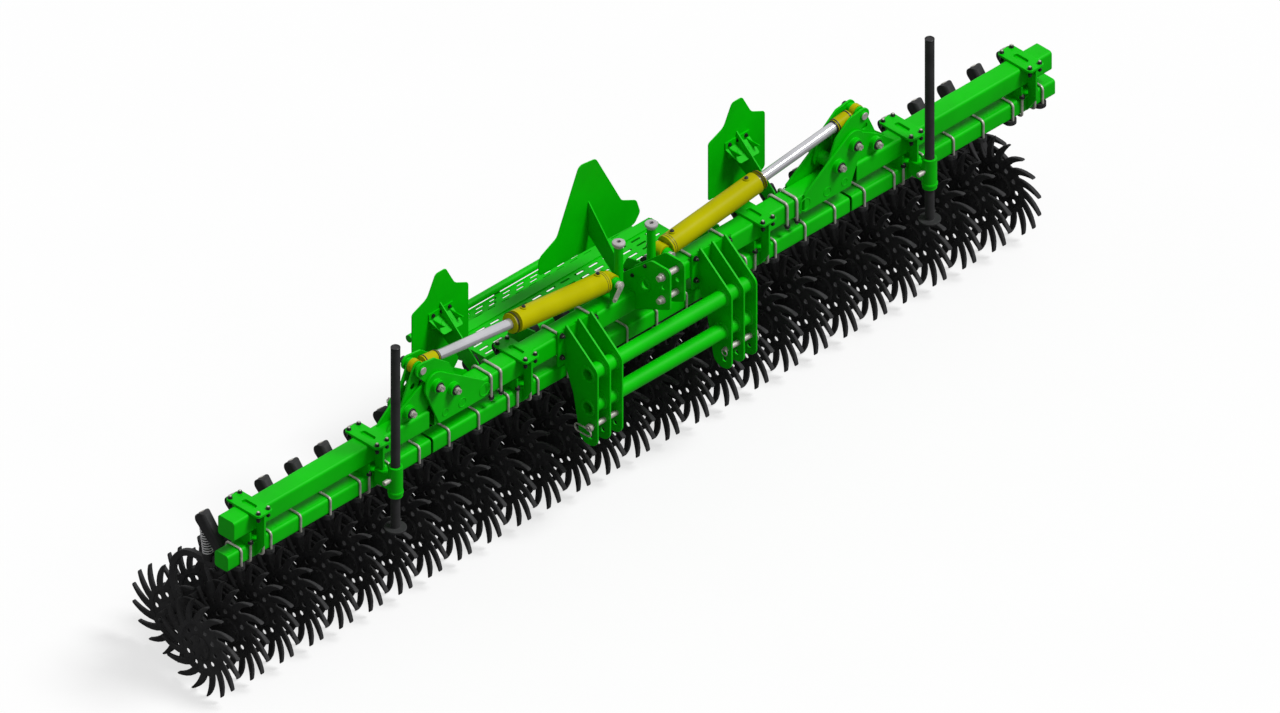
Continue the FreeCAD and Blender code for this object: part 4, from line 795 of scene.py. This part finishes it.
for side, name in ((-1, "left"), (1, "right")):
    node, body, lever = name + "_link_pin", name + "_wing", name + "_fold_lever"
    fitted(node + "_turned", disc(PIN_RADIUS, -link_boss, link_boss, 2.0), zinc_plate,
           [(on_pin(LINK_PIN, side), FORWARD)], body, node)
    ends = [(on_pin(LINK_PIN, side, face * link_boss), LENGTHWAYS[face]) for face in SIDES]
    fitted(node + "_washers", pin_washer, black_oxide, ends, body)
    fitted(node + "_nuts", slotted, zinc_plate, ends, body)
    fitted(lever + "_pin_face", disc(20.0, -1.0, 5.0, 2.0), zinc_plate,
           [(on_pin(ROD_PIN, side, -ROD_PIN_HALF), FORWARD)], lever)
    fitted(lever + "_pin_tail", pin_tail, black_oxide, [(on_pin(ROD_PIN, side, ROD_PIN_HALF), BACKWARD)], lever)


# ---------------- fold cylinders
PIN_TO_PIN = math.hypot(ROD_PIN[0] - BARREL_PIN[0], ROD_PIN[1] - BARREL_PIN[1])
BARREL_START, BARREL_STOP = 37.0, 673.0        # along the cylinder from its base pin
BARREL_RADIUS = 55.0
RINGS = (BARREL_START + 12.0, BARREL_START + 24.0, BARREL_STOP - 10.0)
PORTS = (BARREL_START + 48.0, BARREL_STOP - 84.0)
ROD_RADIUS = 27.0
EYE_SHOULDER = PIN_TO_PIN - 110.0
SLEEVE_START = EYE_SHOULDER - 36.0
ROD_BANDS = (SLEEVE_START + 8.0, EYE_SHOULDER + 50.0)
BASE_PIN_HALF = 73.0
FLAG_TURN = -36.0                              # degrees from straight down


def cylinder_pieces():
    """Shapes along +Z from the base pin: barrel rings, gland, port bosses, port plugs, rod sleeve, rod rings."""
    radius = BARREL_RADIUS
    rings = [lathe([(radius - 2, at - 1.6), (radius + 0.7, at - 1.2), (radius + 0.7, at + 1.2),
                    (radius - 2, at + 1.6)], 40) for at in RINGS]
    gland = lathe([(ROD_RADIUS + 0.4, BARREL_STOP - 1), (radius - 4, BARREL_STOP - 1),
                   (radius - 5, BARREL_STOP + 1.5), (ROD_RADIUS + 6, BARREL_STOP + 1.5),
                   (ROD_RADIUS + 4, BARREL_STOP + 5), (ROD_RADIUS + 1.5, BARREL_STOP + 5)], 40)
    outward = Matrix.Rotation(math.pi, 4, "Z") @ Matrix.Translation(Vector((0, 2.0 - radius, 0))) \
        @ Matrix.Rotation(QUARTER, 4, "X")
    ports = [Matrix.Translation(Vector((0, 0, at))) @ outward for at in PORTS]
    boss = disc(15.0, 0, 9.0, 1.0)
    plug = joined([hexagon(19.0, 9.0, 15.0), disc(6.0, 15.0, 19.0, 1.0)])
    sleeve = lathe([(ROD_RADIUS + 0.2, SLEEVE_START), (33.0, SLEEVE_START), (34.0, SLEEVE_START + 1.0),
                    (34.0, EYE_SHOULDER + 1.0), (ROD_RADIUS + 0.2, EYE_SHOULDER + 1.0)], 36)
    bands = [lathe([(32.0, at - 3.0), (37.0, at - 2.4), (37.0, at + 2.4), (32.0, at + 3.0)], 36) for at in ROD_BANDS]
    wiper = lathe([(ROD_RADIUS + 0.2, SLEEVE_START - 7.0), (ROD_RADIUS + 4.5, SLEEVE_START - 7.0),
                   (ROD_RADIUS + 4.5, SLEEVE_START + 1.0), (ROD_RADIUS + 0.2, SLEEVE_START + 1.0)], 36)
    return (joined(rings), gland, joined([moved(boss, port) for port in ports]),
            joined([moved(plug, port) for port in ports]), sleeve, joined(bands + [wiper]))


for side, name in ((-1, "left"), (1, "right")):
    barrel, rod = name + "_cylinder_barrel", name + "_cylinder_rod"
    place = Matrix.Translation(on_pin(BARREL_PIN, side)) @ towards(on_pin(ROD_PIN, side) - on_pin(BARREL_PIN, side))
    rings, gland, bosses, plugs, sleeve, bands = [moved(shape, place) for shape in cylinder_pieces()]
    fixed(name + "_barrel_rings", rings, black_oxide, barrel)
    fixed(name + "_barrel_gland", gland, yellow_enamel, barrel)
    fixed(name + "_port_bosses", bosses, yellow_enamel, barrel)
    fixed(name + "_port_plugs", plugs, black_oxide, barrel)
    fixed(name + "_rod_sleeve", sleeve, yellow_enamel, rod)
    fixed(name + "_rod_end_rings", bands, black_oxide, rod)

# turned faces of both base pins and the locking flag on the left one
base_faces = [(on_pin(BARREL_PIN, side, face * BASE_PIN_HALF), LENGTHWAYS[face]) for side in SIDES for face in SIDES]
fitted("base_pin_faces", disc(PIN_RADIUS + 3.0, 0, 5.0, 2.0), zinc_plate, base_faces, "frame")
flag_outline = rounded([(-18.0, 18.0, 16.0), (18.0, 18.0, 16.0), (16.0, -86.0, 13.0), (-16.0, -86.0, 13.0)])
flag = joined([prism(flag_outline, 5.0, 10.0), moved(hexagon(13.0, 10.0, 16.0), Vector((0, -68.0, 0))),
               disc(12.0, 10.0, 14.0, 1.0)])
flag_place = Matrix.Translation(on_pin(BARREL_PIN, -1, -BASE_PIN_HALF)) @ Matrix.Rotation(QUARTER, 4, "X") \
    @ Matrix.Rotation(math.radians(FLAG_TURN), 4, "Z")
fixed("base_pin_flag", moved(flag, flag_place), zinc_plate, "frame")


# ---------------- buffers
PAD_RADIUS = 32.0
pad_profile = [(0, -8.0), (10.0, -8.0), (11.0, 0), (24.0, 0), (31.0, -3.0), (33.0, -7.0), (33.0, -15.0),
               (30.0, -19.0), (23.0, -20.0), (23.0, -30.0), (0, -30.0)]
pads = Span("buffer_pads")
pad_places = [(Vector((side * (pads.high.x - PAD_RADIUS), BEAM_Y, pads.high.z)), STRAIGHT) for side in SIDES]
fitted("buffer_pads_moulded", lathe(pad_profile, 32), polyurethane, pad_places, "frame", "buffer_pads")
fitted("buffer_screws", disc(9.0, -8.0, -5.0, 1.0, 6), black_oxide, pad_places, "frame")


# ---------------- hitch and top link tower
HITCH_PLATES = (369.0, 451.0, 534.0)
HITCH_PLATE_HALF = 5.0
HITCH_TUBES = ((-400.0, 751.0), (-400.0, 943.0))          # behind the front axle, and up
TUBE_RADIUS = 40.0
LOWER_PIN = (-427.0, 655.0)
PIN_HEAD_REACH, PIN_CLIP_REACH = 22.0, 8.0                # past the outer and the inner plate
PULL_RADIUS, PULL_SHIFT, PULL_BAR = 20.0, 34.0, 4.5
TOWER_X = 54.0                                            # outer faces of the tower's plates
TOP_PINS = ((-418.0, 1282.0), (-418.0, 1150.0))
TOWER_HOLE = (-300.0, 1177.0)
SET_BOLTS = ((-300.0, 1285.0), (-215.0, 1190.0))


def on_plates(x, spots):
    """Both sides' places on plates that face outward at x, for (y, z) spots measured from the front axle."""
    return [(Vector((side * x, AXLE_Y + y, z)), ACROSS[side]) for side in SIDES for y, z in spots]


# a fillet of weld where each hitch tube passes each plate, and a rim round its open end
fillet = ring([(TUBE_RADIUS - 1, 0), (TUBE_RADIUS + 7.0, 0), (TUBE_RADIUS + 6.0, 2.5), (TUBE_RADIUS + 2.5, 6.0),
               (TUBE_RADIUS - 1, 7.0)])
outer_plate = HITCH_PLATES[2]
welds = [(Vector((side * x + face * HITCH_PLATE_HALF, AXLE_Y + y, z)), ACROSS[face])
         for side in SIDES for x in HITCH_PLATES for face in SIDES for y, z in HITCH_TUBES
         if x != outer_plate or face != side]
fitted("hitch_tube_welds", fillet, green_enamel, welds, "frame")
rim = ring([(30.0, -1.0), (30.0, 4.0), (33.0, 6.0), (43.0, 6.0), (46.0, 0), (44.0, -1.0)])
fitted("hitch_tube_rims", rim, green_enamel, on_plates(outer_plate + HITCH_PLATE_HALF, HITCH_TUBES), "frame")

# lower link pins: bright heads with pull rings outside, lynch pins inside
head_x = outer_plate + HITCH_PLATE_HALF + PIN_HEAD_REACH
clip_x = HITCH_PLATES[0] - HITCH_PLATE_HALF - PIN_CLIP_REACH
pin_head = joined([disc(20.0, 0, 4.0, 1.5), disc(11.0, 4.0, 9.0, 2.0)])
for (at, turn), (inside, _), side, name in zip(on_plates(head_x, [LOWER_PIN]), on_plates(clip_x, [LOWER_PIN]),
                                               SIDES, ("left", "right")):
    fitted(name + "_lower_pin_head", pin_head, zinc_plate, [(at, turn)], "frame")
    loop = oval(at + Vector((side * 3.0, 37.0, -26.0)), PULL_SHIFT, PULL_RADIUS)
    fixed(name + "_lower_pin_ring", pipe(loop, PULL_BAR, 8, closed=True), zinc_plate, "frame")
    clip = arc(inside + Vector((-side * 3.0, 0, -14.0)), 17.0, 0.0, 345.0, 16)
    fixed(name + "_lower_pin_clip", pipe(clip, 3.0, 8), zinc_plate, "frame")

# top link tower: collars round the pins, the ring in its big hole and two set bolts
collar = ring([(16.2, 0), (21.0, 0), (21.0, 12.0), (19.5, 14.0), (16.2, 14.0)], 28)
fitted("top_pin_collars", collar, zinc_plate, on_plates(TOWER_X, TOP_PINS), "frame")
big_ring = ring([(25.0, -1.0), (25.0, 5.0), (27.0, 7.0), (34.0, 7.0), (37.0, 0), (37.0, -1.0)], 32)
fitted("tower_hole_rings", big_ring, green_enamel, on_plates(TOWER_X, [TOWER_HOLE]), "frame")
set_bolt = joined([disc(11.0, 0, 2.0, 0.5), hexagon(17.0, 2.0, 10.0)])
fitted("tower_set_bolts", set_bolt, black_oxide, on_plates(TOWER_X, SET_BOLTS), "frame")


# ---------------- parking stands
STAND = (1800.0, -363.0)       # from the middle, and behind the front axle
STAND_PIN_Z, SOCKET_COLLAR_Z = 958.0, 868.0
pull_knob = joined([disc(8.0, 30.0, 66.0, 1.0), disc(12.5, 46.0, 80.0, 2.5)])
socket_collar = ring([(30.0, 0), (38.0, 0), (39.0, 2.0), (39.0, 14.0), (37.0, 17.0), (30.0, 17.0)])
stand_rim = ring([(18.0, -4.0), (18.0, 1.0), (19.5, 2.5), (22.5, 2.5), (24.2, 1.0), (24.2, -4.0)])
for side, name in ((-1, "left"), (1, "right")):
    wing, stand = name + "_wing", name + "_parking_stand"
    for label, shape, material, z, turn, body in (
            ("_stand_pin", pull_knob, zinc_plate, STAND_PIN_Z, LEFTWARD, wing),
            ("_socket_collar", socket_collar, green_enamel, SOCKET_COLLAR_Z, STRAIGHT, wing),
            ("_stand_rim", stand_rim, black_oxide, Span(stand).high.z, STRAIGHT, stand)):
        fitted(name + label, shape, material, [(Vector((side * STAND[0], AXLE_Y + STAND[1], z)), turn)], body)


# ---------------- brackets on the sheets behind the beams
BOARD_FRONT = AXLE_Y + 136.0
BOARD_MIDDLE, BRACKET_Z = 999.0, 1281.0
BRACKET_HALF = 82.0
SHELF_SLOPE = math.radians(28.0)
SKIRT_MIDDLE = 940.0
BOARD_BOLTS = (-55.0, 0.0, 55.0)


def on_boards(xs, z, y=0.0, turn=STRAIGHT):
    """Places in front of both side sheets."""
    return [(Vector((side * x, BOARD_FRONT + y, z)), turn) for side in SIDES for x in xs]


def sheet_bracket():
    """Folded bracket on a side sheet: a flange on the sheet, a sloping shelf with a raised oval lip, two gussets."""
    half = BRACKET_HALF
    upright = Matrix.Rotation(QUARTER, 4, "X")
    flange = rounded([(-half, -18.0, 3.0), (half, -18.0, 3.0), (half, 18.0, 3.0), (-half, 18.0, 3.0)], 2)
    shelf = prism(rounded([(-half, 0, 2.0), (-66.0, -104.0, 14.0), (66.0, -104.0, 14.0), (half, 0, 2.0)]), -6.0, 0)
    lip = pipe(oval(Vector((0, -52.0, 0)), 16.0, 17.0, "xy"), 2.2, 6, closed=True)
    slope = Matrix.Translation(Vector((0, 0, -16.0))) @ Matrix.Rotation(SHELF_SLOPE, 4, "X")
    gusset = prism([(0, 0), (-96.0, 0), (0, -64.0)], -3.0, 3.0, 0.5)
    gusset = moved(gusset, Matrix.Rotation(QUARTER, 4, "Z") @ upright)
    return joined([moved(prism(flange, 0, 6.0), upright), moved(joined([shelf, lip]), slope)]
                  + [moved(gusset, Vector((x, 0, -18.0))) for x in (-60.0, 60.0)])


skirt_outline = rounded([(-60.0, 1010.0, 0), (-52.0, 900.0, 30.0), (30.0, 884.0, 40.0), (66.0, 930.0, 30.0),
                         (66.0, 1010.0, 0)])
skirt = moved(prism(skirt_outline, -9.0, -3.0), Matrix.Rotation(QUARTER, 4, "X"))
fitted("side_sheet_skirts", skirt, green_enamel, on_boards([SKIRT_MIDDLE], 0), "frame")
fitted("side_sheet_brackets", sheet_bracket(), green_enamel, on_boards([BOARD_MIDDLE], BRACKET_Z), "frame")
fitted("side_sheet_bolts", set_bolt, black_oxide,
       on_boards([BOARD_MIDDLE + x for x in BOARD_BOLTS], BRACKET_Z, -6.0, FORWARD), "frame")


# ---------------- the other solids, with broken edges
EDGE = 1.6
EDGES = {"buffer_posts": 2.0, "top_link_pins": 3.5, "left_parking_stand": 2.0, "right_parking_stand": 2.0}
for node, source in list(frame["nodes"].items()):
    if not source.hide_render:
        dressed(node, body_of(source)[0], FINISH[SLOT_OF[node]], EDGES.get(node, EDGE))


# ---------------- floor, light and camera
VIEW_TURN = math.radians(-45.0)
VIEW_TILT = math.radians(35.264)       # a cube's diagonal
VIEW_WIDTH = 6.100
VIEW_TARGET = Vector((-0.2143, -0.5083, 0.900))
VIEW_DISTANCE = 12.0
SUN_FROM = Vector((0.25, -0.39, 0.72))
SUN_LEVEL = 2.7
SUN_SPREAD = math.radians(20.0)
SKY_LEVEL = 0.28
FLOOR_HALF = 40.0
FLOOR_LIFT = 0.7               # share of the floor that the camera sees as plain white


def studio():
    """White sky and floor as the camera sees them, one soft sun and an even fill at a plain level."""
    world = bpy.data.worlds.new("studio")
    bpy.context.scene.world = world
    tree = bare_tree(world)
    rays = put(tree, "ShaderNodeLightPath")
    seen = put(tree, "ShaderNodeMath", {0: rays.outputs["Is Camera Ray"], 1: rays.outputs["Is Glossy Ray"]},
               operation="MAXIMUM")
    level = put(tree, "ShaderNodeMapRange", {"Value": seen.outputs[0], "To Min": SKY_LEVEL, "To Max": 1.0})
    sky = put(tree, "ShaderNodeBackground", {"Color": (1, 1, 1, 1), "Strength": level.outputs["Result"]})
    put(tree, "ShaderNodeOutputWorld", {"Surface": sky.outputs["Background"]})

    lamp = bpy.data.lights.new("key", "SUN")
    lamp.energy = SUN_LEVEL
    lamp.angle = SUN_SPREAD
    key = placed(bpy.data.objects.new("key", lamp))
    key.rotation_mode = "QUATERNION"
    key.rotation_quaternion = SUN_FROM.to_track_quat("Z", "Y")


def floor():
    """Painted concrete: grey to the light that bounces off it, white to the camera, with the shadow kept."""
    made = bpy.data.materials.new("floor_paint")
    tree = bare_tree(made)
    place = put(tree, "ShaderNodeTexCoord").outputs["Object"]
    haze = put(tree, "ShaderNodeTexNoise", {"Vector": place, "Scale": per_metre(900), "Detail": 3.0})
    white = put(tree, "ShaderNodeMix", {"Factor": haze.outputs["Fac"], "A": srgb("#fafafa"), "B": srgb("#ffffff")},
                data_type="RGBA")
    rays = put(tree, "ShaderNodeLightPath")
    tone = put(tree, "ShaderNodeMix", {"Factor": rays.outputs["Is Camera Ray"], "A": srgb("#808080"),
                                       "B": white.outputs["Result"]}, data_type="RGBA")
    paint = put(tree, "ShaderNodeBsdfDiffuse", {"Color": tone.outputs["Result"]})
    glow = put(tree, "ShaderNodeEmission", {"Color": (1, 1, 1, 1), "Strength": 1.0})
    lift = put(tree, "ShaderNodeMath", {0: rays.outputs["Is Camera Ray"], 1: FLOOR_LIFT}, operation="MULTIPLY")
    mix = put(tree, "ShaderNodeMixShader", {"Fac": lift.outputs[0], 1: paint.outputs["BSDF"],
                                            2: glow.outputs["Emission"]})
    put(tree, "ShaderNodeOutputMaterial", {"Surface": mix.outputs["Shader"]})
    half = FLOOR_HALF
    mesh = bpy.data.meshes.new("floor")
    mesh.from_pydata([(-half, -half, 0), (half, -half, 0), (half, half, 0), (-half, half, 0)], [], [(0, 1, 2, 3)])
    mesh.materials.append(made)
    placed(bpy.data.objects.new("floor", mesh))


def camera():
    """Parallel view from the front left and above, along a cube's diagonal."""
    data = bpy.data.cameras.new("camera")
    data.type = "ORTHO"
    data.ortho_scale = VIEW_WIDTH
    data.clip_end = 100.0
    obj = placed(bpy.data.objects.new("camera", data))
    back = Vector((math.sin(VIEW_TURN) * math.cos(VIEW_TILT), -math.cos(VIEW_TURN) * math.cos(VIEW_TILT),
                   math.sin(VIEW_TILT)))
    obj.rotation_mode = "QUATERNION"
    obj.rotation_quaternion = back.to_track_quat("Z", "Y")
    obj.location = VIEW_TARGET + back * VIEW_DISTANCE
    bpy.context.scene.camera = obj


studio()
floor()
camera()
bpy.context.scene.view_settings.view_transform = "Standard"
